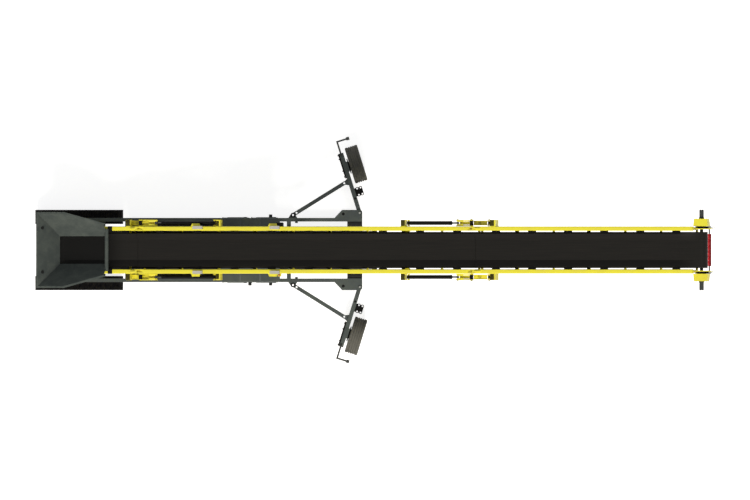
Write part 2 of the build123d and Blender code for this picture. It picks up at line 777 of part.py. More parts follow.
with BuildPart() as head_truss:
    with BuildSketch(section(head_start)):
        with Locations((rail_mid_y, -rail_height / 2)):
            RectangleRounded(rail_width, rail_height, rail_corner)
    extrude(amount=head_rail_end_u - head_start)
    with BuildSketch(side(rail_mid_y + lower_chord / 2)):
        Polygon(
            (head_start, head_low(head_start)), (head_rail_end_u, head_low(head_rail_end_u)),
            (head_rail_end_u, head_low(head_rail_end_u) + lower_chord),
            (head_start, head_low(head_start) + lower_chord), align=None,
        )
    extrude(amount=lower_chord)
    with BuildSketch(side(web_outer_y)):
        for panel in range(head_panels + 1):
            post_u = head_start + web_width / 2 + panel * head_pitch
            with Locations((post_u, head_low(post_u) / 2)):
                Rectangle(web_width, -head_low(post_u) - 40)
        for panel in range(head_panels):
            foot_u = head_start + web_width / 2 + panel * head_pitch
            foot_w, top_w = head_low(foot_u) + 40, -rail_height / 2
            next_w = head_low(foot_u + head_pitch) + 40
            ends = (foot_w, top_w) if panel % 2 == 0 else (top_w, next_w)
            centre, length, slope = between((foot_u, ends[0]), (foot_u + head_pitch, ends[1]))
            with Locations(centre):
                Rectangle(length, web_width, rotation=slope)
    extrude(amount=web_width)
    with BuildSketch(side(plate_y)):
        Polygon(
            (head_rail_end_u - 400, -30), (head_drum_u - 60, -70), (head_drum_u + 170, -170),
            (head_drum_u + 268, head_drum_w - 20), (head_drum_u + 268, head_drum_w - 190),
            (head_drum_u, -head_depth + 10), (head_rail_end_u - 400, -head_depth + 20), align=None,
        )
    extrude(amount=drum_plate)
    with BuildSketch(side(ear_outer_y)):
        Polygon(
            (head_hinge_u + section_gap + 200, -6), (head_hinge_u + section_gap, -6),
            (head_hinge_u + 12, hinge_w - 40), (head_hinge_u, hinge_w + 44),
            (head_hinge_u + 40, hinge_w + 40), align=None,
        )
        with Locations((head_hinge_u, hinge_w)):
            Circle(44)
            Circle(fold_pin_radius + running_gap, mode=Mode.SUBTRACT)
    extrude(amount=ear_outer_y - ear_inner_y)
    with BuildSketch(section(head_hinge_u + head_link_pin[0] + 95)):
        with Locations(((rail_outer_y + fold_outer_y) / 2 - 4, hinge_w + head_link_pin[1] + 100)):
            Rectangle(fold_outer_y - rail_outer_y + 8, 300)
    extrude(amount=170)
    for cheek in (-1, 1):
        with BuildSketch(side(fold_centre_y + cheek * lever_spread + plate_fold / 2)):
            Polygon(
                (head_hinge_u + head_link_pin[0] + 96, hinge_w + head_link_pin[1] - 50),
                (head_hinge_u + head_link_pin[0] + 96, hinge_w + head_link_pin[1] + 110),
                (head_hinge_u + head_link_pin[0] - 10, hinge_w + head_link_pin[1] + 48),
                (head_hinge_u + head_link_pin[0] - 10, hinge_w + head_link_pin[1] - 47), align=None,
            )
            with Locations((head_hinge_u + head_link_pin[0], hinge_w + head_link_pin[1])):
                Circle(48)
        extrude(amount=plate_fold)
    mirror(about=Plane.XZ)
    for panel in range(head_panels + 1):
        tie_u = head_start + web_width / 2 + panel * head_pitch
        with Locations(on_belt(tie_u, 0, head_low(tie_u) + 40)):
            Box(web_width, 2 * rail_mid_y, web_width)
    with BuildSketch(across(head_drum_u, -650, head_drum_w)):
        Circle(drum_shaft_radius + running_gap)
    extrude(amount=1300, mode=Mode.SUBTRACT)
head_truss.part.label = "head_truss"
export_step(head_truss.part, "parts/head_truss.step")

# Head belt: trough, flattening sheet, turn round the drum and return strand
belt_trough_end = head_hinge_u + head_idler_first + head_idler_pitch * (head_idler_count - 1) + 60
with BuildPart() as head_belt:
    with BuildSketch(section(head_hinge_u + belt_gap)):
        Polygon(*trough(0), align=None)
    extrude(amount=belt_trough_end - head_hinge_u - belt_gap)
    with BuildSketch(section(belt_trough_end)):
        Polygon(*trough(0), align=None)
    with BuildSketch(section(head_drum_u)):
        Polygon(*trough(0.97), align=None)
    loft(ruled=True)
    with BuildSketch(side(return_half)):
        with Locations((head_drum_u, head_drum_w)):
            Circle(head_drum_radius + belt_thickness)
            Circle(head_drum_radius, mode=Mode.SUBTRACT)
        with Locations((head_drum_u - 200, head_drum_w)):
            Rectangle(400, 600, mode=Mode.SUBTRACT)
        with Locations(((head_drum_u + head_hinge_u + belt_gap) / 2, return_low + belt_thickness / 2)):
            Rectangle(head_drum_u - head_hinge_u - belt_gap, belt_thickness)
    extrude(amount=2 * return_half)
head_belt.part.label = "head_belt"
export_step(head_belt.part, "parts/head_belt.step")

# Drums with shafts
# columns: node, axis along, axis height, radius, shaft half length
drums = [
    ("head_drum", head_drum_u, head_drum_w, head_drum_radius, 648.0),
    ("tail_drum", tail_drum_u, tail_drum_w, tail_drum_radius, 648.0),
]
for drum_name, drum_u, drum_w, drum_radius, shaft_half in drums:
    with BuildPart() as drum:
        with BuildSketch(side(drum_half)):
            with Locations((drum_u, drum_w)):
                Circle(drum_radius - 2)
        extrude(amount=2 * drum_half)
        with BuildSketch(side(shaft_half)):
            with Locations((drum_u, drum_w)):
                Circle(drum_shaft_radius)
        extrude(amount=2 * shaft_half)
    drum.part.label = drum_name
    export_step(drum.part, "parts/%s.step" % drum_name)

# Bearing blocks of the head drum between its side plates and the drive covers
with BuildPart() as head_bearings:
    with BuildSketch(side(rail_outer_y + 6)):
        with Locations((head_drum_u, head_drum_w)):
            RectangleRounded(230, 190, 40)
            Circle(drum_shaft_radius + running_gap, mode=Mode.SUBTRACT)
    extrude(amount=rail_outer_y + 6 - plate_y)
    mirror(about=Plane.XZ)
head_bearings.part.label = "head_bearings"
export_step(head_bearings.part, "parts/head_bearings.step")

# Drive covers, hydraulic motors, scraper and lifting eyes at the head
cover_end = 905.0
motor_collar = 942.0
motor_end = 1163.0
motor_radius = 66.0
with BuildPart() as drive_covers:
    with BuildSketch(floor_plane(head_drum_w - 95)):
        Polygon(
            (head_drum_u - 215, rail_outer_y + 6), (head_drum_u + 235, rail_outer_y + 6),
            (head_drum_u + 205, cover_end), (head_drum_u - 190, cover_end), align=None,
        )
    extrude(amount=230)
    mirror(about=Plane.XZ)
drive_covers.part.label = "drive_covers"
export_step(drive_covers.part, "parts/drive_covers.step")

with BuildPart() as drive_motors:
    with BuildSketch(side(motor_collar)):
        with Locations((head_drum_u, head_drum_w)):
            Circle(motor_radius + 16)
    extrude(amount=motor_collar - cover_end)
    with BuildSketch(side(motor_end)):
        with Locations((head_drum_u, head_drum_w)):
            Circle(motor_radius)
    extrude(amount=motor_end - motor_collar)
    mirror(about=Plane.XZ)
drive_motors.part.label = "drive_motors"
export_step(drive_motors.part, "parts/drive_motors.step")

scraper_u = head_drum_u + 184.0
scraper_w = head_drum_w - 166.0
with BuildPart() as scraper:
    with BuildSketch(side(467)):
        with Locations((scraper_u, scraper_w)):
            Rectangle(91, 100, rotation=-conveyor_angle)
    extrude(amount=2 * 467)
    with BuildSketch(side(plate_y - drum_plate)):
        with Locations((scraper_u, scraper_w)):
            Circle(20)
    extrude(amount=2 * (plate_y - drum_plate))
scraper.part.label = "belt_scraper"
export_step(scraper.part, "parts/belt_scraper.step")

eye_u = head_drum_u + 345.0
eye_y = 652.0
eye_w = head_drum_w - 60.0
with BuildPart() as lifting_eyes:
    with Locations(on_belt(eye_u, eye_y, eye_w)):
        Torus(36, 8)
    with Locations(on_belt(head_drum_u + 240, plate_y, eye_w)):
        Box(80, 40, 24, align=(Align.CENTER, Align.MIN, Align.CENTER))
    with Locations(on_belt(head_drum_u + 296, eye_y, eye_w)):
        Box(40, 24, 16)
    mirror(about=Plane.XZ)
lifting_eyes.part.label = "lifting_eyes"
export_step(lifting_eyes.part, "parts/lifting_eyes.step")

# Tail section: side channels, drum plates, cross ties, hinge ears and link yokes
tail_front = -section_gap
tail_ties = [-300.0, -1250.0, -2200.0]
with BuildPart() as tail_frame:
    with BuildSketch(section(tail_end_u + 250)):
        with Locations((rail_mid_y, -rail_height / 2)):
            RectangleRounded(rail_width, rail_height, rail_corner)
        with Locations((rail_mid_y, -tail_depth / 2 - rail_height / 4)):
            Rectangle(30, tail_depth - rail_height / 2)
        with Locations((rail_mid_y, -tail_depth + 15)):
            Rectangle(90, 30)
    extrude(amount=tail_front - tail_end_u - 250)
    with BuildSketch(side(plate_y)):
        Polygon(
            (tail_end_u + 450, -30), (tail_drum_u + 40, -60), (tail_end_u, tail_drum_w + 60),
            (tail_end_u, tail_drum_w - 60), (tail_drum_u + 20, tail_drum_w - 120),
            (tail_end_u + 450, -tail_depth + 10), align=None,
        )
    extrude(amount=drum_plate)
    with BuildSketch(side(rail_outer_y)):
        with Locations((tail_drum_u, tail_drum_w)):
            RectangleRounded(210, 150, 40)
    extrude(amount=rail_outer_y - plate_y)
    with BuildSketch(side(ear_outer_y)):
        Polygon(
            (-section_gap - 200, -6), (-section_gap, -6), (-12, hinge_w - 40),
            (0, hinge_w + 44), (-40, hinge_w + 40), align=None,
        )
        with Locations((0, hinge_w)):
            Circle(44)
            Circle(fold_pin_radius + running_gap, mode=Mode.SUBTRACT)
    extrude(amount=ear_outer_y - ear_inner_y)
    yoke_w = hinge_w + tail_link_pin[1]
    with BuildSketch(side(fold_outer_y)):
        with Locations((-tail_link_pin[0], (yoke_w + 60) / 2)):
            Rectangle(120, -yoke_w - 80)
    extrude(amount=fold_outer_y - rail_outer_y + 8)
    for cheek in (-1, 1):
        with BuildSketch(side(fold_centre_y + cheek * lever_spread + plate_fold / 2)):
            Polygon(
                (-tail_link_pin[0] - 60, yoke_w + 80), (-tail_link_pin[0] + 60, yoke_w + 80),
                (-tail_link_pin[0] + 48, yoke_w), (-tail_link_pin[0] - 48, yoke_w), align=None,
            )
            with Locations((-tail_link_pin[0], yoke_w)):
                Circle(48)
        extrude(amount=plate_fold)
    mirror(about=Plane.XZ)
    for tie_u in tail_ties:
        with Locations(on_belt(tie_u, 0, -tail_depth + 15)):
            Box(web_width, 2 * rail_mid_y, 30)
    with BuildSketch(across(tail_drum_u, -650, tail_drum_w)):
        Circle(drum_shaft_radius + running_gap)
    extrude(amount=1300, mode=Mode.SUBTRACT)
tail_frame.part.label = "tail_frame"
export_step(tail_frame.part, "parts/tail_frame.step")

with BuildPart() as tail_belt:
    with BuildSketch(section(tail_drum_u + 320)):
        Polygon(*trough(0), align=None)
    extrude(amount=-belt_gap - tail_drum_u - 320)
    with BuildSketch(side(return_half)):
        with Locations((tail_drum_u, tail_drum_w)):
            Circle(tail_drum_radius + belt_thickness)
            Circle(tail_drum_radius, mode=Mode.SUBTRACT)
        with Locations((tail_drum_u + 200, tail_drum_w)):
            Rectangle(400, 600, mode=Mode.SUBTRACT)
        with Locations(((tail_drum_u - belt_gap) / 2, return_low + belt_thickness / 2)):
            Rectangle(-belt_gap - tail_drum_u, belt_thickness)
        with Locations((tail_drum_u + 165, belt_low - belt_thickness / 2)):
            Rectangle(330, belt_thickness)
    extrude(amount=2 * return_half)
tail_belt.part.label = "tail_belt"
export_step(tail_belt.part, "parts/tail_belt.step")

# Hopper: sloping rear and side walls, rim bars, front cross tube and gussets down to the tail rails
tube_u = -884.0
tube_w = 72.0
tube_radius = 55.0
tube_half = rail_inner_y + 52.0
hopper_rise = hopper_rim - hopper_low
wall_lean = (hopper_rim_half - hopper_low_half) / hopper_rise
fall = hopper_front_drop / (hopper_front_u - hopper_bend_u)
front_half = hopper_rim_half - hopper_front_drop * wall_lean

with BuildPart() as hopper:
    for grow, mode in ((hopper_sheet, Mode.ADD), (0.0, Mode.SUBTRACT)):
        ahead = hopper_front_u if mode == Mode.ADD else hopper_front_u + 50
        for w, rear, half in (
            (hopper_low, hopper_rear_low_u, hopper_low_half),
            (hopper_rim, hopper_rear_rim_u, hopper_rim_half),
        ):
            with BuildSketch(floor_plane(w)):
                Polygon(
                    (rear - 1.4 * grow, -half - 1.4 * grow), (ahead, -half - 1.4 * grow),
                    (ahead, half + 1.4 * grow), (rear - 1.4 * grow, half + 1.4 * grow), align=None,
                )
        loft(ruled=True, mode=mode)
    with BuildSketch(side(1300)):
        Polygon(
            (hopper_bend_u, hopper_rim), (hopper_front_u + 60, hopper_rim - hopper_front_drop - 60 * fall),
            (hopper_front_u + 60, hopper_rim + 60), (hopper_bend_u, hopper_rim + 60), align=None,
        )
    extrude(amount=2600, mode=Mode.SUBTRACT)
    with Locations(on_belt(hopper_rear_rim_u - rim_bar / 2, 0, hopper_rim - rim_bar / 2)):
        Box(rim_bar, 2 * (hopper_rim_half + rim_bar), rim_bar)
    rim_corners = [
        (hopper_rear_rim_u - 6, hopper_rim_half + rim_bar / 2, hopper_rim - rim_bar / 2),
        (hopper_bend_u, hopper_rim_half + rim_bar / 2, hopper_rim - rim_bar / 2),
        (hopper_front_u, front_half + rim_bar / 2, hopper_rim - hopper_front_drop - rim_bar / 2),
    ]
    for rim_side in (-1, 1):
        for start, stop in zip(rim_corners, rim_corners[1:]):
            foot = belt_point(start[0], rim_side * start[1], start[2])
            tip = belt_point(stop[0], rim_side * stop[1], stop[2])
            with BuildSketch(Plane(origin=foot, x_dir=(0, 1, 0), z_dir=tip - foot)):
                Rectangle(rim_bar, rim_bar)
            extrude(amount=(tip - foot).length + 12)
    gusset_in = rail_inner_y + 15
    gusset_out = rail_outer_y - 5
    gusset_low = hopper_low + 2 - hopper_low_half / wall_lean
    for gusset_u in (-2250.0, -1650.0, -1050.0):
        with BuildSketch(section(gusset_u)):
            for rim_side in (-1, 1):
                Polygon(
                    (rim_side * gusset_in, 0), (rim_side * gusset_out, 0),
                    (rim_side * gusset_out, gusset_low + gusset_out / wall_lean),
                    (rim_side * gusset_in, gusset_low + gusset_in / wall_lean), align=None,
                )
        extrude(amount=14)
    with BuildSketch(side(tube_half)):
        with Locations((tube_u, tube_w)):
            Circle(tube_radius)
    extrude(amount=2 * tube_half)
    for rim_side in (-1, 1):
        with Locations(on_belt(tube_u, rim_side * (tube_half - 30), tube_w / 2)):
            Box(80, 50, tube_w)
hopper.part.label = "hopper"
export_step(hopper.part, "parts/hopper.step")

# Rubber pads on the inside of the rear hopper wall
pad_share = 0.8
pad_u = hopper_rear_low_u + pad_share * (hopper_rear_rim_u - hopper_rear_low_u)
pad_w = hopper_low + pad_share * hopper_rise
pad_normal = belt_point(hopper_rise, 0, hopper_rear_low_u - hopper_rear_rim_u)
with BuildPart() as hopper_pads:
    for pad_y in (-640.0, 640.0):
        pad_foot = belt_point(pad_u, pad_y, pad_w)
        with BuildSketch(Plane(origin=pad_foot, z_dir=pad_normal - incline.origin)):
            Circle(46)
        extrude(amount=22)
hopper_pads.part.label = "hopper_pads"
export_step(hopper_pads.part, "parts/hopper_pads.step")

# Fold cylinders, bellcrank levers and link straps on both sides of both hinges
# columns: section, hinge along the belt, sense toward the folding section, barrel pin, link pin
folds = [
    ("head", head_hinge_u, 1, head_anchor, head_link_pin),
    ("tail", 0.0, -1, tail_anchor, tail_link_pin),
]
for fold_name, hinge_u, sense, anchor, link_pin in folds:
    pivot = (hinge_u + sense * lever_pivot[0], hinge_w + lever_pivot[1])
    tip = (hinge_u + sense * lever_tip[0], hinge_w + lever_tip[1])
    far = (hinge_u + sense * link_pin[0], hinge_w + link_pin[1])
    root = (hinge_u + sense * anchor[0], hinge_w + anchor[1])
    with BuildPart() as levers:
        for cheek in (-1, 1):
            with BuildSketch(side(fold_centre_y + cheek * lever_spread + plate_fold / 2)):
                centre, length, slope = between(pivot, tip)
                with Locations(centre):
                    SlotCenterToCenter(length, 104, rotation=slope)
            extrude(amount=plate_fold)
            stub = lever_spread - strap_spread + strap_thickness / 2
            with BuildSketch(side(fold_centre_y + cheek * (lever_spread - stub / 2) + stub / 2)):
                with Locations(tip):
                    Circle(fold_pin_radius)
            extrude(amount=stub)
        with BuildSketch(side(fold_centre_y + lever_spread)):
            with Locations(pivot):
                Circle(46)
        extrude(amount=2 * lever_spread)
        with BuildSketch(side(fold_centre_y + lever_spread + 20)):
            with Locations(pivot):
                Circle(fold_pin_radius + running_gap)
        extrude(amount=2 * lever_spread + 40, mode=Mode.SUBTRACT)
        mirror(about=Plane.XZ)
    levers.part.label = fold_name + "_levers"
    export_step(levers.part, "parts/%s_levers.step" % fold_name)

    with BuildPart() as links:
        centre, length, slope = between(tip, far)
        for cheek in (-1, 1):
            with BuildSketch(side(fold_centre_y + cheek * strap_spread + strap_thickness / 2)):
                with Locations(centre):
                    SlotCenterToCenter(length, 84, rotation=slope)
                with Locations(tip):
                    Circle(fold_pin_radius + running_gap, mode=Mode.SUBTRACT)
            extrude(amount=strap_thickness)
        with BuildSketch(side(fold_centre_y + strap_spread)):
            with Locations(far):
                Circle(fold_pin_radius)
            with Locations((tip[0] + 0.7 * (far[0] - tip[0]), tip[1] + 0.7 * (far[1] - tip[1]))):
                Rectangle(90, 60, rotation=slope)
        extrude(amount=2 * strap_spread)
        mirror(about=Plane.XZ)
    links.part.label = fold_name + "_links"
    export_step(links.part, "parts/%s_links.step" % fold_name)

    run = hypot(tip[0] - root[0], tip[1] - root[1])
    heading = atan2(tip[1] - root[1], tip[0] - root[0])
    aim = Plane(
        origin=belt_point(root[0], fold_centre_y, root[1]), x_dir=(0, 1, 0),
        z_dir=belt_point(root[0] + cos(heading), fold_centre_y, root[1] + sin(heading))
        - belt_point(root[0], fold_centre_y, root[1]),
    )
    mouth = run - 175
    with BuildPart() as barrels:
        with BuildSketch(aim.offset(40)):
            Circle(fold_barrel_radius)
        extrude(amount=mouth - 40)
        with BuildSketch(aim.offset(mouth - 70)):
            Circle(fold_barrel_radius + 3)
        extrude(amount=70)
        with BuildSketch(side(fold_centre_y + 50)):
            with Locations(root):
                Circle(50)
        extrude(amount=100)
        with BuildSketch(side(fold_centre_y + 60)):
            with Locations(root):
                Circle(fold_pin_radius + running_gap)
        extrude(amount=120, mode=Mode.SUBTRACT)
        with BuildSketch(aim.offset(90)):
            Circle(fold_rod_radius + running_gap)
        extrude(amount=run, mode=Mode.SUBTRACT)
        mirror(about=Plane.XZ)
    barrels.part.label = fold_name + "_barrels"
    export_step(barrels.part, "parts/%s_barrels.step" % fold_name)

    with BuildPart() as rods:
        with BuildSketch(aim.offset(110)):
            Circle(fold_rod_radius)
        extrude(amount=run - 130)
        with BuildSketch(side(fold_centre_y + fold_eye_width / 2)):
            with Locations(tip):
                Circle(42)
        extrude(amount=fold_eye_width)
        with BuildSketch(side(fold_centre_y + strap_spread - strap_thickness / 2 - 4)):
            with Locations(tip):
                Circle(fold_pin_radius)
        extrude(amount=2 * strap_spread - strap_thickness - 8)
        mirror(about=Plane.XZ)
    rods.part.label = fold_name + "_rods"
    export_step(rods.part, "parts/%s_rods.step" % fold_name)

# Lift cylinders between the chassis and the underside of the main truss
lift_top = belt_point(lift_u, 0, lift_w)
lift_run = hypot(lift_top.X - lift_base_x, lift_top.Z - lift_base_z)
lift_aim = Plane(
    origin=(lift_base_x, lift_y, lift_base_z), x_dir=(0, 1, 0),
    z_dir=(lift_top.X - lift_base_x, 0, lift_top.Z - lift_base_z),
)
with BuildPart() as lift_barrels:
    with BuildSketch(lift_aim.offset(90)):
        Circle(lift_barrel_radius)
    extrude(amount=lift_barrel_length - 90)
    with BuildSketch(lift_aim.offset(20)):
        Circle(lift_eye / 2)
    extrude(amount=80)
    with BuildSketch(lift_aim.offset(lift_barrel_length - 120)):
        Circle(lift_barrel_radius + 10)
    extrude(amount=120)
    with BuildSketch(flank(lift_y + lift_eye / 2)):
        with Locations((lift_base_x, lift_base_z)):
            Circle(62)
    extrude(amount=lift_eye)
    with BuildSketch(flank(lift_y + lift_eye)):
        with Locations((lift_base_x, lift_base_z)):
            Circle(lift_pin_radius + running_gap)
    extrude(amount=2 * lift_eye, mode=Mode.SUBTRACT)
    with BuildSketch(lift_aim.offset(130)):
        Circle(lift_rod_radius + running_gap)
    extrude(amount=lift_barrel_length, mode=Mode.SUBTRACT)
    mirror(about=Plane.XZ)
lift_barrels.part.label = "lift_barrels"
export_step(lift_barrels.part, "parts/lift_barrels.step")

with BuildPart() as lift_rods:
    with BuildSketch(lift_aim.offset(700)):
        Circle(lift_rod_radius)
    extrude(amount=lift_run - 730)
    with BuildSketch(flank(lift_y + lift_eye / 2)):
        with Locations((lift_top.X, lift_top.Z)):
            Circle(60)
    extrude(amount=lift_eye)
    mirror(about=Plane.XZ)
lift_rods.part.label = "lift_rods"
export_step(lift_rods.part, "parts/lift_rods.step")

# Wheel legs swinging on vertical pins, with hub carriers, hub drives and marker arms
out_dir = (-sin(radians(leg_angle)), cos(radians(leg_angle)))
ahead_dir = (cos(radians(leg_angle)), sin(radians(leg_angle)))


def leg_plane(z):
    """Plan view on the leg: first axis out along it, second toward the tail."""
    return Plane(origin=(leg_pivot_x, leg_pivot_y, z), x_dir=(out_dir[0], out_dir[1], 0), z_dir=(0, 0, 1))


def on_leg(along, toward_tail):
    """Plan position from a distance out along the leg and one toward the tail."""
    return (
        leg_pivot_x + along * out_dir[0] - toward_tail * ahead_dir[0],
        leg_pivot_y + along * out_dir[1] - toward_tail * ahead_dir[1],
    )


hub_plate = 30.0
hub_radius = 140.0
hub_face = 195.0
hub_spindle = 52.0
spindle_end = 268.0
carrier_width = 300.0
wheel_plan = on_leg(wheel_along, -wheel_offset)
hub_aim = Plane(
    origin=(*on_leg(wheel_along, -leg_width / 2), tyre_radius),
    x_dir=(0, 0, 1), z_dir=(ahead_dir[0], ahead_dir[1], 0),
)
arm_radius = 25.0
arm_z = stay_z + leg_height / 2 + 50
arm_corner = on_leg(2165, 15)
arm_foot = on_leg(1770, 15)
arm_tip = on_leg(2165, -262)
with BuildPart() as leg_left:
    with BuildSketch(leg_plane(stay_z - leg_height / 2)):
        with Locations((leg_length / 2, 0)):
            Rectangle(leg_length, leg_width)
        Circle(leg_width / 2)
        Circle(leg_pin_radius + running_gap, mode=Mode.SUBTRACT)
    extrude(amount=leg_height)
    with BuildSketch(leg_plane(beam_bottom + 1)):
        Circle(56)
        Circle(leg_pin_radius + running_gap, mode=Mode.SUBTRACT)
    extrude(amount=beam_height - 2)
    with BuildSketch(leg_plane(stay_z - 15)):
        Polygon(
            (stay_along - 100, leg_width / 2 - 5), (stay_along + 100, leg_width / 2 - 5),
            (stay_along + 45, leg_width / 2 + stay_reach),
            (stay_along - 45, leg_width / 2 + stay_reach), align=None,
        )
        with Locations((stay_along, leg_width / 2 + stay_reach)):
            Circle(55)
            Circle(stay_hole_radius, mode=Mode.SUBTRACT)
    extrude(amount=30)
    with BuildSketch(hub_aim):
        with Locations(((stay_z + leg_height / 2 - tyre_radius - 150) / 2, 0)):
            Rectangle(stay_z + leg_height / 2 - tyre_radius + 150, carrier_width)
    extrude(amount=hub_plate)
leg_left.part.label = "leg_left"
export_step(leg_left.part, "parts/leg_left.step")

drilled_length = 250.0
drilled_width = 226.0
drilled_along = 604.0
with BuildPart() as drilled_left:
    with BuildSketch(leg_plane(stay_z)):
        with Locations((drilled_along, -(leg_width + drilled_width) / 2)):
            RectangleRounded(drilled_length, drilled_width, 14)
        with Locations((drilled_along, -(leg_width / 2 + 130))):
            with GridLocations(190, 104, 2, 2):
                Circle(24, mode=Mode.SUBTRACT)
    extrude(amount=20)
drilled_left.part.label = "drilled_plate_left"
export_step(drilled_left.part, "parts/drilled_plate_left.step")

with BuildPart() as hub_left:
    with BuildSketch(hub_aim.offset(hub_plate)):
        Circle(hub_radius)
    extrude(amount=hub_face - leg_width / 2 - hub_plate)
    with BuildSketch(hub_aim.offset(hub_face - leg_width / 2)):
        Circle(hub_spindle)
    extrude(amount=spindle_end - hub_face)
hub_left.part.label = "hub_drive_left"
export_step(hub_left.part, "parts/hub_drive_left.step")

arm_out = (arm_corner[0] - arm_foot[0], arm_corner[1] - arm_foot[1], 0)
arm_over = (arm_tip[0] - arm_corner[0], arm_tip[1] - arm_corner[1], 0)
with BuildPart() as marker_left:
    with BuildSketch(Plane(origin=(*arm_foot, arm_z), z_dir=arm_out)):
        Circle(arm_radius)
    extrude(amount=hypot(arm_out[0], arm_out[1]) + arm_radius)
    with BuildSketch(Plane(origin=(*arm_corner, arm_z), z_dir=arm_over)):
        Circle(arm_radius)
    extrude(amount=hypot(arm_over[0], arm_over[1]))
    with BuildSketch(Plane(origin=(*arm_tip, arm_z), z_dir=arm_over)):
        Circle(48)
    extrude(amount=90.5)
    with BuildSketch(leg_plane(stay_z + leg_height / 2)):
        with Locations((1770, 15)):
            Rectangle(60, 60)
    extrude(amount=50)
marker_left.part.label = "marker_arm_left"
export_step(marker_left.part, "parts/marker_arm_left.step")

# Wheels: tyre and dished rim turning on the hub spindle
wheel_cut = Plane(origin=(*wheel_plan, tyre_radius), x_dir=(0, 0, 1), z_dir=(out_dir[0], out_dir[1], 0))
turn_axis = Axis(origin=(*wheel_plan, tyre_radius), direction=(ahead_dir[0], ahead_dir[1], 0))
bead_half = tyre_width * 0.40
with BuildPart() as tyre_left:
    with BuildSketch(wheel_cut):
        Polygon(
            (rim_radius + running_gap, -bead_half), (rim_radius + running_gap, bead_half),
            (tyre_radius * 0.80, tyre_width / 2), (tyre_radius - 40, tyre_width / 2 - 4),
            (tyre_radius - 9, tyre_width / 2 - 18), (tyre_radius, tyre_width / 2 - 44),
            (tyre_radius, 44 - tyre_width / 2), (tyre_radius - 9, 18 - tyre_width / 2),
            (tyre_radius - 40, 4 - tyre_width / 2), (tyre_radius * 0.80, -tyre_width / 2), align=None,
        )
    revolve(axis=turn_axis)
tyre_left.part.label = "tyre_left"
export_step(tyre_left.part, "parts/tyre_left.step")

disc_back = hub_face + 5 - wheel_offset
with BuildPart() as rim_left:
    with BuildSketch(wheel_cut):
        Polygon(
            (hub_spindle + running_gap, disc_back), (hub_spindle + running_gap, disc_back + 66),
            (hub_radius - 10, disc_back + 66), (hub_radius + 10, disc_back + 22),
            (rim_radius - 16, disc_back + 22),
            (rim_radius - 16, bead_half + 6), (rim_radius, bead_half + 6), (rim_radius, -bead_half - 6),
            (rim_radius - 16, -bead_half - 6), (rim_radius - 16, disc_back), align=None,
        )
    revolve(axis=turn_axis)
rim_left.part.label = "rim_left"
export_step(rim_left.part, "parts/rim_left.step")

# Stays from the chassis lugs to the leg lugs
stay_foot = (stay_pin_x, stay_pin_y)
stay_head = on_leg(stay_along, leg_width / 2 + stay_reach)
stay_length = hypot(stay_head[0] - stay_foot[0], stay_head[1] - stay_foot[1])
stay_turn = (
    (stay_head[0] - stay_foot[0]) / stay_length, (stay_head[1] - stay_foot[1]) / stay_length,
)


def stay_plane(z):
    """Plan view on the stay: first axis from its chassis pin to its leg pin."""
    return Plane(origin=(*stay_foot, z), x_dir=(stay_turn[0], stay_turn[1], 0), z_dir=(0, 0, 1))


with BuildPart() as stay_left:
    with BuildSketch(stay_plane(stay_z - stay_height / 2)):
        with Locations(((stay_length - 65) / 2, 0)):
            Rectangle(stay_length - 65, stay_width)
        Circle(stay_width / 2)
        Circle(stay_pin_radius + running_gap, mode=Mode.SUBTRACT)
        with Locations((122, 0)):
            Circle(stay_hole_radius, mode=Mode.SUBTRACT)
    extrude(amount=stay_height)
    for fork_z in (stay_z - 35, stay_z + 17):
        with BuildSketch(stay_plane(fork_z)):
            with Locations((stay_length - 75, 0)):
                Rectangle(150, stay_width)
            with Locations((stay_length, 0)):
                Circle(stay_width / 2)
                Circle(stay_hole_radius, mode=Mode.SUBTRACT)
        extrude(amount=18)
stay_left.part.label = "stay_left"
export_step(stay_left.part, "parts/stay_left.step")

# Right-hand leg, plate, hub, marker arm, stay and wheel as mirror images
# columns: left-hand piece, right-hand node
right_hand = [
    (leg_left, "leg_right"),
    (drilled_left, "drilled_plate_right"),
    (hub_left, "hub_drive_right"),
    (marker_left, "marker_arm_right"),
    (stay_left, "stay_right"),
    (tyre_left, "tyre_right"),
    (rim_left, "rim_right"),
]
for left_hand, right_name in right_hand:
    with BuildPart() as right_piece:
        mirror(left_hand.part, about=Plane.XZ)
    right_piece.part.label = right_name
    export_step(right_piece.part, "parts/%s.step" % right_name)
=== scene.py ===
from math import cos, pi, radians, sin, tau

import bpy
from mathutils import Matrix, Vector


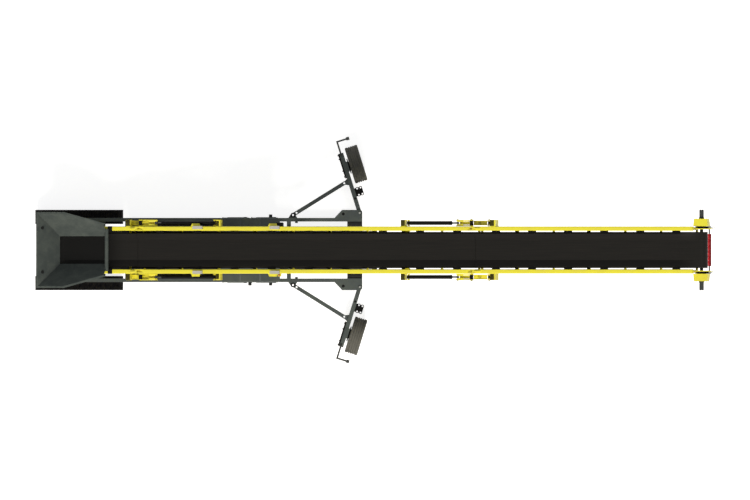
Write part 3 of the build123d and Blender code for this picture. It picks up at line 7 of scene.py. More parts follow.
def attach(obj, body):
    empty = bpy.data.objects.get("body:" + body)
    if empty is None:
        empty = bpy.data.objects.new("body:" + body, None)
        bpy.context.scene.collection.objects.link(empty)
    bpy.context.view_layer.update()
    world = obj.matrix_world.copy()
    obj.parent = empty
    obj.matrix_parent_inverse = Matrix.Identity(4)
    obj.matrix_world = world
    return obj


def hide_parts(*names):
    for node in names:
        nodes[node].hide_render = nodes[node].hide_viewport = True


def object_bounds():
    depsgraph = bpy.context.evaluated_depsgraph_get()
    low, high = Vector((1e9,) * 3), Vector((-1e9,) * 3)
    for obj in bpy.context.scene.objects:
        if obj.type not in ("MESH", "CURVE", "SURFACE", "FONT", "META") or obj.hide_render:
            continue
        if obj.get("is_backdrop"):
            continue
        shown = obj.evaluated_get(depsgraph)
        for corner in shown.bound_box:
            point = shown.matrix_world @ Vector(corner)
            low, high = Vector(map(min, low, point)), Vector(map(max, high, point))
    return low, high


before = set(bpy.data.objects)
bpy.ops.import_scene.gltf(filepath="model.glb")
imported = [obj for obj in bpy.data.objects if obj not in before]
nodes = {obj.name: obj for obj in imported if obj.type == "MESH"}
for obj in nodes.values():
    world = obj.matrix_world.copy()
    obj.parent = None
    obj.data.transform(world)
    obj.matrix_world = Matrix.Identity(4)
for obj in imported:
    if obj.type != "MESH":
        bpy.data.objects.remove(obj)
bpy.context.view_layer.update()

# Crawler tracks: two closed chains of forged steel shoes with one grouser bar each.
# The steel is bare and dark, rubbed on the bars and dusty in the corners.
# Every shoe is held to the chain links by four hexagon bolts.


def linear(code):
    """Linear colour for a shader socket from an sRGB hex value."""
    channels = [int(code[i:i + 2], 16) / 255 for i in (1, 3, 5)]
    return [c / 12.92 if c <= 0.04045 else ((c + 0.055) / 1.055) ** 2.4 for c in channels] + [1.0]


def add_node(finish, kind, settings, links):
    """Adds one shader node to a finish, sets its sockets or options and links what feeds it."""
    node = finish.node_tree.nodes.new(kind)
    for name, value in settings.items():
        if name in node.inputs:
            node.inputs[name].default_value = value
        else:
            setattr(node, name, value)
    for name, source in links.items():
        finish.node_tree.links.new(source, node.inputs[name])
    return node


def new_finish(name, roughness, metallic, shine):
    """An empty finish with its surface shader, and the object coordinates its patterns read."""
    finish = bpy.data.materials.new(name)
    finish.use_nodes = True
    shader = finish.node_tree.nodes["Principled BSDF"]
    shader.inputs["Roughness"].default_value = roughness
    shader.inputs["Metallic"].default_value = metallic
    shader.inputs["Specular IOR Level"].default_value = shine
    place = add_node(finish, "ShaderNodeTexCoord", {}, {}).outputs["Object"]
    return finish, shader, place


def dress(finish, *names):
    """Gives CAD nodes their finish."""
    for name in names:
        nodes[name].data.materials.clear()
        nodes[name].data.materials.append(finish)


def roughen(finish, shader, place, width, detail, strength, depth):
    """Gives a finish a fine relief of pits or ripples of one width."""
    pits = add_node(
        finish, "ShaderNodeTexNoise", {"Scale": 1 / width, "Detail": detail}, {"Vector": place},
    )
    relief = add_node(
        finish, "ShaderNodeBump", {"Strength": strength, "Distance": depth},
        {"Height": pits.outputs["Fac"]},
    )
    finish.node_tree.links.new(relief.outputs["Normal"], shader.inputs["Normal"])


# Forged and rolled steel without paint: dark, half matt, with brown dust in blotches 90 mm wide.
track_steel, shader, place = new_finish("worn_track_steel", 0.6, 0.2, 0.05)
blotch = add_node(
    track_steel, "ShaderNodeTexNoise", {"Scale": 1 / 0.09, "Detail": 6.0}, {"Vector": place},
)
share = add_node(
    track_steel, "ShaderNodeMapRange", {"From Min": 0.42, "From Max": 0.7},
    {"Value": blotch.outputs["Fac"]},
)
tone = add_node(
    track_steel, "ShaderNodeMixRGB", {"Color1": linear("#0c0c0e"), "Color2": linear("#1d1b18")},
    {"Fac": share.outputs["Result"]},
)
track_steel.node_tree.links.new(tone.outputs["Color"], shader.inputs["Base Color"])
roughen(track_steel, shader, place, 0.008, 3.0, 0.25, 0.002)
dress(track_steel, "track_left", "track_right")


def choose_faces(piece, wanted):
    """Opens a piece in edit mode with only the faces selected whose centre and normal fit."""
    bpy.ops.object.mode_set(mode="EDIT")
    bpy.ops.mesh.select_mode(type="FACE")
    bpy.ops.mesh.select_all(action="DESELECT")
    bpy.ops.object.mode_set(mode="OBJECT")
    for face in piece.data.polygons:
        face.select = wanted(face.center, face.normal)
    bpy.ops.object.mode_set(mode="EDIT")


def hex_bolt(across, height):
    """A hexagon bolt head with a chamfered top on its flange, standing on the origin along +Z."""
    bpy.ops.object.select_all(action="DESELECT")
    bpy.ops.mesh.primitive_cylinder_add(
        vertices=6, radius=across * 0.577, depth=height, location=(0, 0, height / 2),
    )
    bpy.ops.object.transform_apply(location=True)
    bolt = bpy.context.object
    choose_faces(bolt, lambda centre, normal: normal.z > 0.9)
    bpy.ops.mesh.bevel(offset=across * 0.09, segments=1, affect="EDGES")
    choose_faces(bolt, lambda centre, normal: normal.z < -0.9)
    bpy.ops.mesh.extrude_region_move(TRANSFORM_OT_translate={"value": (0, 0, 0)})
    bpy.ops.transform.resize(value=(1.3, 1.3, 1), center_override=(0, 0, 0))
    bpy.ops.mesh.extrude_region_move(TRANSFORM_OT_translate={"value": (0, 0, -height * 0.2)})
    bpy.ops.object.mode_set(mode="OBJECT")
    return bolt


def copies(name, pattern, places):
    """One mesh of copies of a modelled pattern, each at its own place; the pattern goes."""
    bpy.ops.object.select_all(action="DESELECT")
    for place in places:
        copy = pattern.copy()
        copy.data = pattern.data.copy()
        copy.data.transform(place)
        bpy.context.scene.collection.objects.link(copy)
        copy.select_set(True)
    bpy.context.view_layer.objects.active = copy
    bpy.ops.object.join()
    piece = bpy.context.object
    piece.name = piece.data.name = name
    bpy.data.objects.remove(pattern)
    return piece


def fit_piece(piece, body, finish):
    """Smooths a finished piece, paints it and fixes it to the body that carries it."""
    bpy.ops.object.select_all(action="DESELECT")
    piece.select_set(True)
    bpy.context.view_layer.objects.active = piece
    bpy.ops.object.shade_smooth_by_angle(angle=radians(35))
    piece.data.materials.clear()
    piece.data.materials.append(finish)
    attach(piece, body)


slew_x = -8.581
track_height = 0.720
track_straight = 1.829
track_mid_y = 0.9595
shoe_depth = 0.018
shoe_radius = track_height / 2 - shoe_depth
shoe_count = 38
pitch_radius = 0.344
lap = 2 * track_straight + tau * pitch_radius


def on_track(distance, y):
    """Place on the shoe plates at a distance round the track, +Z standing out of the loop."""
    turn = pi * pitch_radius
    if distance < track_straight:
        centre, angle = slew_x - track_straight / 2 + distance, -pi / 2
    elif distance < track_straight + turn:
        centre = slew_x + track_straight / 2
        angle = (distance - track_straight) / pitch_radius - pi / 2
    elif distance < 2 * track_straight + turn:
        centre, angle = slew_x + track_straight / 2 - (distance - track_straight - turn), pi / 2
    else:
        centre = slew_x - track_straight / 2
        angle = (distance - 2 * track_straight - turn) / pitch_radius + pi / 2
    spot = Vector(
        (centre + shoe_radius * cos(angle), y, track_height / 2 + shoe_radius * sin(angle)),
    )
    return Matrix.Translation(spot) @ Matrix.Rotation(pi / 2 - angle, 4, "Y")


for side_name, side in (("left", 1), ("right", -1)):
    shoe_bolts = copies(
        "shoe_bolts_" + side_name, hex_bolt(0.030, 0.014),
        [
            on_track((shoe + share) * lap / shoe_count, side * track_mid_y + across)
            for shoe in range(shoe_count) for share in (0.23, 0.77) for across in (-0.095, 0.095)
        ],
    )
    fit_piece(shoe_bolts, "undercarriage", track_steel)

# Undercarriage frame and track wheels: plate steel welded up and painted charcoal.
# Geared hub drives and roller axle caps are bolted on the outer side plates.
# The paint is satin, rubbed to a browner dust in blotches 250 mm wide.


def enamel(name, fresh, dusty, patch, roughness, shine):
    """Sprayed machine enamel: a dust film in patches, and the faint ripple that spraying leaves."""
    finish, shader, place = new_finish(name, roughness, 0.0, shine)
    film = add_node(
        finish, "ShaderNodeTexNoise", {"Scale": 1 / patch, "Detail": 8.0, "Roughness": 0.6},
        {"Vector": place},
    )
    share = add_node(
        finish, "ShaderNodeMapRange", {"From Min": 0.45, "From Max": 0.8},
        {"Value": film.outputs["Fac"]},
    )
    tone = add_node(
        finish, "ShaderNodeMixRGB", {"Color1": linear(fresh), "Color2": linear(dusty)},
        {"Fac": share.outputs["Result"]},
    )
    sheen = add_node(
        finish, "ShaderNodeMapRange", {"To Min": roughness - 0.06, "To Max": roughness + 0.18},
        {"Value": film.outputs["Fac"]},
    )
    finish.node_tree.links.new(tone.outputs["Color"], shader.inputs["Base Color"])
    finish.node_tree.links.new(sheen.outputs["Result"], shader.inputs["Roughness"])
    roughen(finish, shader, place, 0.012, 2.0, 0.06, 0.002)
    return finish


charcoal_enamel = enamel("charcoal_enamel", "#191a1a", "#272623", 0.25, 0.45, 0.2)
dress(charcoal_enamel, "undercarriage_frame", "track_wheels")


def turned(name, outline, steps):
    """A turned piece about +Z: its outline of radius and height is drawn edge by edge and spun."""
    bpy.ops.object.select_all(action="DESELECT")
    bpy.ops.mesh.primitive_plane_add(size=0.001)
    piece = bpy.context.object
    piece.name = piece.data.name = name
    bpy.ops.object.mode_set(mode="EDIT")
    bpy.ops.mesh.select_mode(type="VERT")
    bpy.ops.mesh.select_all(action="SELECT")
    bpy.ops.mesh.merge(type="CENTER")
    bpy.ops.transform.translate(value=(outline[0][0], 0, outline[0][1]))
    for start, stop in zip(outline, outline[1:]):
        step = (stop[0] - start[0], 0, stop[1] - start[1])
        bpy.ops.mesh.extrude_region_move(TRANSFORM_OT_translate={"value": step})
    bpy.ops.mesh.select_all(action="SELECT")
    bpy.ops.mesh.spin(steps=steps, angle=tau, center=(0, 0, 0), axis=(0, 0, 1))
    bpy.ops.mesh.select_all(action="SELECT")
    bpy.ops.mesh.remove_doubles(threshold=0.00002)
    bpy.ops.mesh.normals_make_consistent(inside=False)
    bpy.ops.object.mode_set(mode="OBJECT")
    return piece


def aimed(spot, direction):
    """Place at a spot with +Z along a direction."""
    turn = Vector(direction).to_track_quat("Z", "Y").to_matrix().to_4x4()
    return Matrix.Translation(Vector(spot)) @ turn


track_plate_y = 1.0395
hub_height = track_height / 2
roller_height = 0.1284
roller_span = 1.309
track_hub = turned(
    "track_hub",
    [(0.0, 0.066), (0.040, 0.066), (0.046, 0.060), (0.052, 0.046), (0.100, 0.040), (0.108, 0.034),
     (0.112, 0.022), (0.140, 0.020), (0.150, 0.012), (0.150, 0.0), (0.0, 0.0)],
    40,
)
track_hubs = copies(
    "track_hubs", track_hub,
    [
        aimed((slew_x + end * track_straight / 2, side * track_plate_y, hub_height), (0, side, 0))
        for end in (-1, 1) for side in (-1, 1)
    ],
)
fit_piece(track_hubs, "undercarriage", charcoal_enamel)

roller_cap = turned(
    "roller_cap",
    [(0.0, 0.020), (0.014, 0.020), (0.020, 0.014), (0.024, 0.012), (0.026, 0.0), (0.0, 0.0)], 20,
)
roller_caps = copies(
    "roller_caps", roller_cap,
    [
        aimed(
            (slew_x + roller_span * (roller / 4 - 0.5), side * track_plate_y, roller_height),
            (0, side, 0),
        )
        for roller in range(5) for side in (-1, 1)
    ],
)
fit_piece(roller_caps, "undercarriage", charcoal_enamel)

ring_radius, ring_top, ring_bolts = 0.525, 0.773, 24
slew_bolts = copies(
    "slew_ring_bolts", hex_bolt(0.030, 0.014),
    [
        Matrix.Translation((slew_x + ring_radius * cos(turn), ring_radius * sin(turn), ring_top))
        for turn in (tau * n / ring_bolts for n in range(ring_bolts))
    ],
)
fit_piece(slew_bolts, "undercarriage", charcoal_enamel)

# Chassis: two long welded box beams with cross tubes, luff posts and the brackets for the legs.
# The steel is sprayed in a dark machine grey that is a little green, with pale dust on it.
grey_enamel = enamel("machine_grey_enamel", "#424948", "#50574f", 0.6, 0.42, 0.35)
dress(grey_enamel, "chassis_frame")

# Pin caps and jig plugs: turned zinc-plated caps on the leg pins, bolted down on the brackets.
# Moulded black rubber plugs are pressed into the jig holes beside them.
zinc_plate, shader, place = new_finish("zinc_plated_steel", 0.38, 0.9, 0.5)
spangle = add_node(zinc_plate, "ShaderNodeTexVoronoi", {"Scale": 1 / 0.012}, {"Vector": place})
tone = add_node(
    zinc_plate, "ShaderNodeMixRGB", {"Color1": linear("#9b9c98"), "Color2": linear("#c3c4be")},
    {"Fac": spangle.outputs["Distance"]},
)
zinc_plate.node_tree.links.new(tone.outputs["Color"], shader.inputs["Base Color"])

leg_pivot = (-0.448, 1.073)
jig_hole = (-0.925, 1.045)
bracket_top = 1.066
pin_cap = turned(
    "pin_cap", [(0.0, 0.036), (0.022, 0.036), (0.027, 0.031), (0.029, 0.020), (0.0, 0.020)], 28,
)
pin_caps = copies(
    "leg_pin_caps", pin_cap,
    [Matrix.Translation((leg_pivot[0], side * leg_pivot[1], bracket_top)) for side in (-1, 1)],
)
fit_piece(pin_caps, "chassis", zinc_plate)


def mottled(name, dark, pale, patch, detail, roughness, metallic, shine):
    """A finish that wanders between two tones in blotches of one width."""
    finish, shader, place = new_finish(name, roughness, metallic, shine)
    blotch = add_node(
        finish, "ShaderNodeTexNoise", {"Scale": 1 / patch, "Detail": detail}, {"Vector": place},
    )
    tone = add_node(
        finish, "ShaderNodeMixRGB", {"Color1": linear(dark), "Color2": linear(pale)},
        {"Fac": blotch.outputs["Fac"]},
    )
    finish.node_tree.links.new(tone.outputs["Color"], shader.inputs["Base Color"])
    return finish


black_rubber = mottled("moulded_black_rubber", "#0b0b0b", "#1a1a19", 0.05, 5.0, 0.75, 0.0, 0.1)
plug = turned(
    "jig_plug", [(0.0, 0.005), (0.030, 0.005), (0.040, 0.004), (0.043, 0.0), (0.0, 0.0)], 28,
)
plugs = copies(
    "jig_plugs", plug,
    [Matrix.Translation((jig_hole[0], side * jig_hole[1], bracket_top)) for side in (-1, 1)],
)
fit_piece(plugs, "chassis", black_rubber)

# Retaining discs: turned steel discs in black that close the ends of the luff and lift pins.
# Each is held by one central bolt.
black_enamel = enamel("black_enamel", "#090909", "#131210", 0.2, 0.42, 0.08)


def pin_disc(radius):
    """A retaining disc with a bolt head on it, standing on the origin along +Z."""
    return turned(
        "pin_disc",
        [(0.0, 0.018), (0.010, 0.018), (0.013, 0.015), (0.013, 0.008), (radius - 0.003, 0.008),
         (radius, 0.005), (radius, 0.0), (0.0, 0.0)],
        24,
    )


# columns: along, height, distance of the pin's end from the middle
pin_ends = [(-6.4936, 1.7203, 0.6935), (-2.501, 1.180, 0.572)]
chassis_discs = copies(
    "chassis_pin_discs", pin_disc(0.050),
    [aimed((x, side * y, z), (0, side, 0)) for x, z, y in pin_ends for side in (-1, 1)],
)
fit_piece(chassis_discs, "chassis", black_enamel)


def block(name, length, width, height, edge):
    """A block standing on the origin with its edges rounded off."""
    bpy.ops.object.select_all(action="DESELECT")
    bpy.ops.mesh.primitive_cube_add(size=1, location=(0, 0, 0))
    piece = bpy.context.object
    piece.name = piece.data.name = name
    bpy.ops.object.mode_set(mode="EDIT")
    bpy.ops.mesh.select_all(action="SELECT")
    bpy.ops.transform.resize(value=(length, width, height), center_override=(0, 0, 0))
    bpy.ops.transform.translate(value=(0, 0, height / 2))
    bpy.ops.mesh.bevel(offset=edge, segments=2, affect="EDGES")
    bpy.ops.object.mode_set(mode="OBJECT")
    return piece


# Belly sheet: thin charcoal plate under the cross tubes that keeps spillage off the ground.
# It is full width at the rear and narrow in front, where the bays beside it are open.
axle_x, axle_top = -0.5905, 1.020
belly_low, belly_depth, belly_edge = 0.838, 0.012, 0.001
belly_rear_x, belly_step_x, belly_flare = -7.2486, -2.720, 0.060
belly_half, belly_narrow_half = 0.8256, 0.640
belly = block("belly_sheet", axle_x - belly_step_x, 2 * belly_narrow_half, belly_depth, belly_edge)
choose_faces(belly, lambda centre, normal: normal.x < -0.9)
bpy.ops.mesh.extrude_region_move(TRANSFORM_OT_translate={"value": (-belly_flare, 0, 0)})
widening = belly_half / (belly_narrow_half - belly_edge)
bpy.ops.transform.resize(value=(1, widening, 1), center_override=(0, 0, 0))
rear_run = belly_rear_x - belly_step_x + belly_flare
bpy.ops.mesh.extrude_region_move(TRANSFORM_OT_translate={"value": (rear_run, 0, 0)})
bpy.ops.object.mode_set(mode="OBJECT")
belly.data.transform(Matrix.Translation(((belly_step_x + axle_x) / 2, 0, belly_low)))
fit_piece(belly, "chassis", charcoal_enamel)
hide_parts("belly_plate")

# Axle plates: small charcoal plates laid on the axle beam beside the conveyor.
# Their dark is painted shade for the recessed axle beam.
steps = copies(
    "axle_shade_plates", block("step", 0.425, 0.140, 0.005, 0.002),
    [Matrix.Translation((axle_x, side * 0.752, axle_top)) for side in (-1, 1)],
)
fit_piece(steps, "chassis", charcoal_enamel)

# Power canopy: folded sheet over engine, pump and tank, with louvred doors and a radiator grille.
# The sheet is sprayed in the same grey.
# The doors hang on knuckle hinges and close with paddle latches.
dress(grey_enamel, "power_canopy", "canopy_doors")
dress(charcoal_enamel, "radiator_grille", "side_boxes", "engine_block")

door_face_y = 0.942
door_length = 0.776
door_middles = (-4.043, -3.207)
door_foot = 1.110
latch_reach, latch_lift = 0.28, 0.10
latch = block("latch", 0.110, 0.080, 0.012, 0.003)
choose_faces(latch, lambda centre, normal: normal.z > 0.9 and centre.z > 0.011)
bpy.ops.mesh.inset(thickness=0.012, depth=0)
bpy.ops.mesh.extrude_region_move(TRANSFORM_OT_translate={"value": (0, 0, -0.008)})
bpy.ops.mesh.inset(thickness=0.006, depth=0)
bpy.ops.mesh.extrude_region_move(TRANSFORM_OT_translate={"value": (0, 0, 0.010)})
bpy.ops.object.mode_set(mode="OBJECT")
latches = copies(
    "door_latches", latch,
    [
        aimed((middle + latch_reach, side * door_face_y, door_foot + latch_lift), (0, side, 0))
        for middle in door_middles for side in (-1, 1)
    ],
)
fit_piece(latches, "chassis", black_rubber)

knuckle = turned(
    "hinge_knuckle",
    [(0.0, 0.0), (0.009, 0.0), (0.011, 0.002), (0.011, 0.034), (0.009, 0.036), (0.011, 0.038),
     (0.011, 0.074), (0.009, 0.076), (0.0, 0.076)],
    16,
)
hinge_reach, hinge_face_y = 0.014 - door_length / 2, door_face_y + 0.006
knuckles = copies(
    "door_hinges", knuckle,
    [
        Matrix.Translation((middle + hinge_reach, side * hinge_face_y, door_foot + lift))
        for middle in door_middles for side in (-1, 1) for lift in (0.06, 0.38)
    ],
)
fit_piece(knuckles, "chassis", charcoal_enamel)

# Roof of the canopy: two folded seams in the grey sheet, and a steel exhaust with a rain lip.
# A moulded plastic air bowl stands beside the exhaust.
canopy_top = 1.690
seams = copies(
    "roof_seams", block("seam", 0.050, 1.780, 0.012, 0.003),
    [Matrix.Translation((x, 0, canopy_top)) for x in (-3.914, -3.336)],
)
fit_piece(seams, "chassis", grey_enamel)
exhaust = turned(
    "exhaust_stack",
    [(0.0, 0.0), (0.075, 0.0), (0.075, 0.012), (0.047, 0.014), (0.045, 0.330), (0.049, 0.334),
     (0.049, 0.352), (0.045, 0.356), (0.041, 0.352), (0.041, 0.200), (0.0, 0.200)],
    32,
)
exhaust.data.transform(Matrix.Translation((-2.950, 0.300, canopy_top)))
fit_piece(exhaust, "chassis", charcoal_enamel)
air_bowl = turned(
    "air_bowl",
    [(0.0, 0.0), (0.060, 0.0), (0.060, 0.110), (0.095, 0.125), (0.125, 0.140), (0.130, 0.148),
     (0.130, 0.215), (0.124, 0.228), (0.100, 0.242), (0.050, 0.252), (0.018, 0.254), (0.016, 0.270),
     (0.0, 0.272)],
    32,
)
air_bowl.data.transform(Matrix.Translation((-3.600, -0.280, canopy_top)))
fit_piece(air_bowl, "chassis", black_rubber)

# Side boxes: small steel junction boxes on the beams, painted charcoal.
# Each is closed by a lid with a zinc-plated screw in every corner.
box_places = [(-3.031, 1), (-3.031, -1), (-3.631, -1)]
box_y, lid_top, corner = 0.981, 1.051, 0.036
lid_screws = copies(
    "side_box_screws", hex_bolt(0.012, 0.006),
    [
        Matrix.Translation((box_x + dx, side * box_y + dy, lid_top))
        for box_x, side in box_places for dx in (-corner, corner) for dy in (-corner, corner)
    ],
)
fit_piece(lid_screws, "chassis", zinc_plate)

# Conveyor frames: rolled box rails with webs and chords welded under them, in three sections.
# They are sprayed with a gloss lemon-yellow enamel that is paler where dust has settled.
yellow_enamel = enamel("lemon_yellow_enamel", "#ebe138", "#dfd247", 0.5, 0.34, 0.5)
dress(
    yellow_enamel, "main_truss", "head_truss", "tail_frame", "saddle_plates", "drive_covers",
    "stop_box",
)

# Gusset plates: flame-cut plates in the frames' yellow, wide at the chord or the rail.
# They are welded over the joints that the posts make with both.
belt_slope = radians(17)
belt_frame = Matrix.Translation((-6.921, 0, 2.400)) @ Matrix.Rotation(-belt_slope, 4, "Y")
belt_dir = Vector((cos(belt_slope), 0, sin(belt_slope)))
belt_up = Vector((-sin(belt_slope), 0, cos(belt_slope)))


def framed(spot, along, up):
    """Place at a spot with +X along one direction and +Z toward another."""
    x, z = Vector(along).normalized(), Vector(up).normalized()
    return Matrix.Translation(Vector(spot)) @ Matrix((x, z.cross(x), z)).transposed().to_4x4()


web_face_y, chord_half, rail_low = 0.6505, 0.045, -0.145
# columns: body, name, first post, pitch, posts, chord height there and its rise per metre
truss_rows = [
    ("main", "main_gussets", 0.045, 1.12778, 9, -0.620, 0.0),
    ("head", "head_gussets", 11.37617, 1.09117, 6, -0.600, 0.01816),
]
for body, name, first, pitch, posts, chord, rise in truss_rows:
    gusset = block("gusset", 0.230, 0.100, 0.008, 0.002)
    choose_faces(gusset, lambda centre, normal: normal.y < -0.9)
    bpy.ops.transform.resize(value=(0.45, 1, 1), center_override=(0, 0, 0))
    bpy.ops.object.mode_set(mode="OBJECT")
    spots = []
    for post in range(posts):
        for side in (-1, 1):
            low = chord + rise * post * pitch + chord_half
            for w, turn in ((low, 1), (rail_low, -1)):
                spot = belt_frame @ Vector((first + post * pitch, side * web_face_y, w))
                spots.append(framed(spot, turn * side * belt_dir, (0, side, 0)))
    fit_piece(copies(name, gusset, spots), body, yellow_enamel)

# Belt: three-ply rubber belting with a smooth top cover, scuffed in long streaks by the load.
# Streaks along the belt are 25 mm wide and over a metre long; under the hopper the belt is darker,
# painted shade of the hopper's walls.
belt_rubber, shader, place = new_finish("conveyor_belt_rubber", 0.62, 0.0, 0.1)
along = add_node(
    belt_rubber, "ShaderNodeMapping", {"Rotation": (0, belt_slope, 0)}, {"Vector": place},
)
drawn = add_node(
    belt_rubber, "ShaderNodeMapping", {"Scale": (0.9, 1 / 0.025, 1 / 0.2)},
    {"Vector": along.outputs["Vector"]},
)
streak = add_node(
    belt_rubber, "ShaderNodeTexNoise", {"Scale": 1.0, "Detail": 6.0},
    {"Vector": drawn.outputs["Vector"]},
)
share = add_node(
    belt_rubber, "ShaderNodeMapRange", {"From Min": 0.4, "From Max": 0.75},
    {"Value": streak.outputs["Fac"]},
)
streak_tone = add_node(
    belt_rubber, "ShaderNodeMixRGB", {"Color1": linear("#1a1917"), "Color2": linear("#211f1c")},
    {"Fac": share.outputs["Result"]},
)
# Painted shade: the belt is near black (#0c0c0b) at the tail, under the hopper, and blends to its
# streaked tone over 600 mm towards the head.
station = add_node(belt_rubber, "ShaderNodeSeparateXYZ", {}, {"Vector": place})
hopper_shade = add_node(
    belt_rubber, "ShaderNodeMapRange", {"From Min": -7.9, "From Max": -7.3},
    {"Value": station.outputs["X"]},
)
tone = add_node(
    belt_rubber, "ShaderNodeMixRGB", {"Color1": linear("#0c0c0b")},
    {"Fac": hopper_shade.outputs["Result"], "Color2": streak_tone.outputs["Color"]},
)
belt_rubber.node_tree.links.new(tone.outputs["Color"], shader.inputs["Base Color"])
roughen(belt_rubber, shader, place, 0.006, 2.0, 0.15, 0.001)
dress(belt_rubber, "main_belt", "head_belt", "tail_belt")

# Idler sets: three steel rolls in a pressed frame, painted black.
# Their foot plates lie against the rails, each held by two hexagon bolts.
dress(black_enamel, "main_idlers", "head_idlers", "tail_idlers")
foot_y, foot_w, foot_reach = 0.527, -0.003, 0.085
# columns: body, name, stations along the belt
idler_rows = [
    ("main", "main_idler_bolts", [0.720 + 1.124 * n for n in range(9)]),
    ("head", "head_idler_bolts", [10.890 + 1.094 * n for n in range(6)]),
    ("tail", "tail_idler_bolts", [-0.350, -1.000, -1.500, -2.000]),
]
for body, name, stations in idler_rows:
    idler_bolts = copies(
        name, hex_bolt(0.024, 0.012),
        [
            belt_frame @ Matrix.Translation((station + step, side * foot_y, foot_w))
            for station in stations for step in (-foot_reach, foot_reach) for side in (-1, 1)
        ],
    )
    fit_piece(idler_bolts, body, black_enamel)

# Rest pads: blocks of off-white wear plastic on the rails that carry the folded head.
# Sawn sides and a top scratched along the conveyor.
wear_plastic, shader, place = new_finish("white_wear_plastic", 0.5, 0.0, 0.3)
along = add_node(
    wear_plastic, "ShaderNodeMapping", {"Rotation": (0, belt_slope, 0)}, {"Vector": place},
)
drawn = add_node(
    wear_plastic, "ShaderNodeMapping", {"Scale": (4, 1 / 0.006, 1 / 0.006)},
    {"Vector": along.outputs["Vector"]},
)
scratch = add_node(
    wear_plastic, "ShaderNodeTexNoise", {"Scale": 1.0, "Detail": 4.0},
    {"Vector": drawn.outputs["Vector"]},
)
tone = add_node(
    wear_plastic, "ShaderNodeMixRGB", {"Color1": linear("#aeaba2"), "Color2": linear("#c9c6bd")},
    {"Fac": scratch.outputs["Fac"]},
)
wear_plastic.node_tree.links.new(tone.outputs["Color"], shader.inputs["Base Color"])
dress(wear_plastic, "rest_pads")

# Control box and stop switch: a moulded black box on the left rail, and on the right rail a
# yellow box with a red mushroom button that is turned from plastic and pressed on its stem.
dress(black_enamel, "control_box")
switch_u = 4.318
lid = block("control_lid", 0.188, 0.098, 0.010, 0.003)
choose_faces(lid, lambda centre, normal: normal.z > 0.9 and centre.z > 0.009)
bpy.ops.mesh.inset(thickness=0.014, depth=-0.003)
bpy.ops.object.mode_set(mode="OBJECT")
lid.data.transform(framed(belt_frame @ Vector((switch_u, 0.788, -0.092)), belt_dir, (0, 1, 0)))
fit_piece(lid, "main", black_enamel)
gland = turned(
    "cable_gland",
    [(0.0, 0.0), (0.015, 0.0), (0.015, 0.010), (0.012, 0.012), (0.012, 0.026), (0.008, 0.032),
     (0.0, 0.032)],
    12,
)
glands = copies(
    "cable_glands", gland,
    [
        aimed(belt_frame @ Vector((switch_u + step, 0.736, -0.147)), -belt_up)
        for step in (-0.05, 0.0, 0.05)
    ],
)
fit_piece(glands, "main", black_rubber)

red_enamel = enamel("signal_red", "#bd1a24", "#a3161e", 0.15, 0.35, 0.4)
stop_spot = (switch_u, -0.728, -0.031)
mushroom = turned(
    "stop_mushroom",
    [(0.0, 0.034), (0.008, 0.0335), (0.016, 0.031), (0.022, 0.027), (0.026, 0.021), (0.026, 0.014),
     (0.022, 0.011), (0.014, 0.010), (0.014, 0.0), (0.0, 0.0)],
    32,
)
mushroom.data.transform(belt_frame @ Matrix.Translation(stop_spot))
fit_piece(mushroom, "main", red_enamel)
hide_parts("stop_button")

# Hopper: folded plate walls on the tail section, sprayed grey and scoured by rock.
# Scoured patches are 350 mm wide and dents 40 mm; the rim bar is bolted for extension boards.
hopper_plate, shader, place = new_finish("scoured_hopper_plate", 0.5, 0.0, 0.06)
scour = add_node(
    hopper_plate, "ShaderNodeTexNoise", {"Scale": 1 / 0.35, "Detail": 10.0, "Roughness": 0.65},
    {"Vector": place},
)
share = add_node(
    hopper_plate, "ShaderNodeMapRange", {"From Min": 0.4, "From Max": 0.75},
    {"Value": scour.outputs["Fac"]},
)
tone = add_node(
    hopper_plate, "ShaderNodeMixRGB", {"Color1": linear("#474d4b"), "Color2": linear("#595f5a")},
    {"Fac": share.outputs["Result"]},
)
hopper_plate.node_tree.links.new(tone.outputs["Color"], shader.inputs["Base Color"])
roughen(hopper_plate, shader, place, 0.04, 3.0, 0.12, 0.003)
dress(hopper_plate, "hopper")
dress(charcoal_enamel, "hopper_pads")
rim_rear_u, rim_side_y, rim_top_w = -2.803, 1.074, 0.702
rim_bolts = copies(
    "rim_bolts", hex_bolt(0.024, 0.012),
    [
        belt_frame @ Matrix.Translation((rim_rear_u, -0.95 + 0.19 * n, rim_top_w))
        for n in range(11)
    ]
    + [
        belt_frame @ Matrix.Translation((-2.70 + 0.16 * n, side * rim_side_y, rim_top_w))
        for n in range(5) for side in (-1, 1)
    ],
)
fit_piece(rim_bolts, "tail", hopper_plate)

# Hopper ribs: pressed channels in the hopper's grey that stiffen its walls.
# They are welded on outside and follow the walls' slope.
wall_lean, rear_lean = 0.8777, 0.6033
trough_y, trough_u, trough_w = 0.413, -2.331, -0.036
rear_dir = (belt_frame.to_3x3() @ Vector((-0.444, 0, 0.736))).normalized()
rear_out = (belt_frame.to_3x3() @ Vector((-0.736, 0, -0.444))).normalized()
# columns: place along the belt, lower end, upper end
side_rib_rows = (
    (-2.243, 0.29, 0.64), (-1.943, 0.10, 0.62), (-1.643, 0.29, 0.52), (-1.343, 0.10, 0.42),
)
for rib_u, rib_low, rib_high in side_rib_rows:
    rib_length = (rib_high - rib_low) * (1 + wall_lean ** 2) ** 0.5
    rib_w = (rib_low + rib_high) / 2
    rib_y = trough_y + wall_lean * (rib_w - trough_w)
    spots = []
    for side in (-1, 1):
        run = belt_frame.to_3x3() @ Vector((0, side * wall_lean, 1)).normalized()
        out = belt_frame.to_3x3() @ Vector((0, side, -wall_lean)).normalized()
        spots.append(framed(belt_frame @ Vector((rib_u, side * rib_y, rib_w)), run, out))
    rib = block("rib", rib_length, 0.060, 0.040, 0.008)
    ribs = copies("side_ribs_%d" % round(-rib_u * 1000), rib, spots)
    fit_piece(ribs, "tail", hopper_plate)
rear_w = 0.360
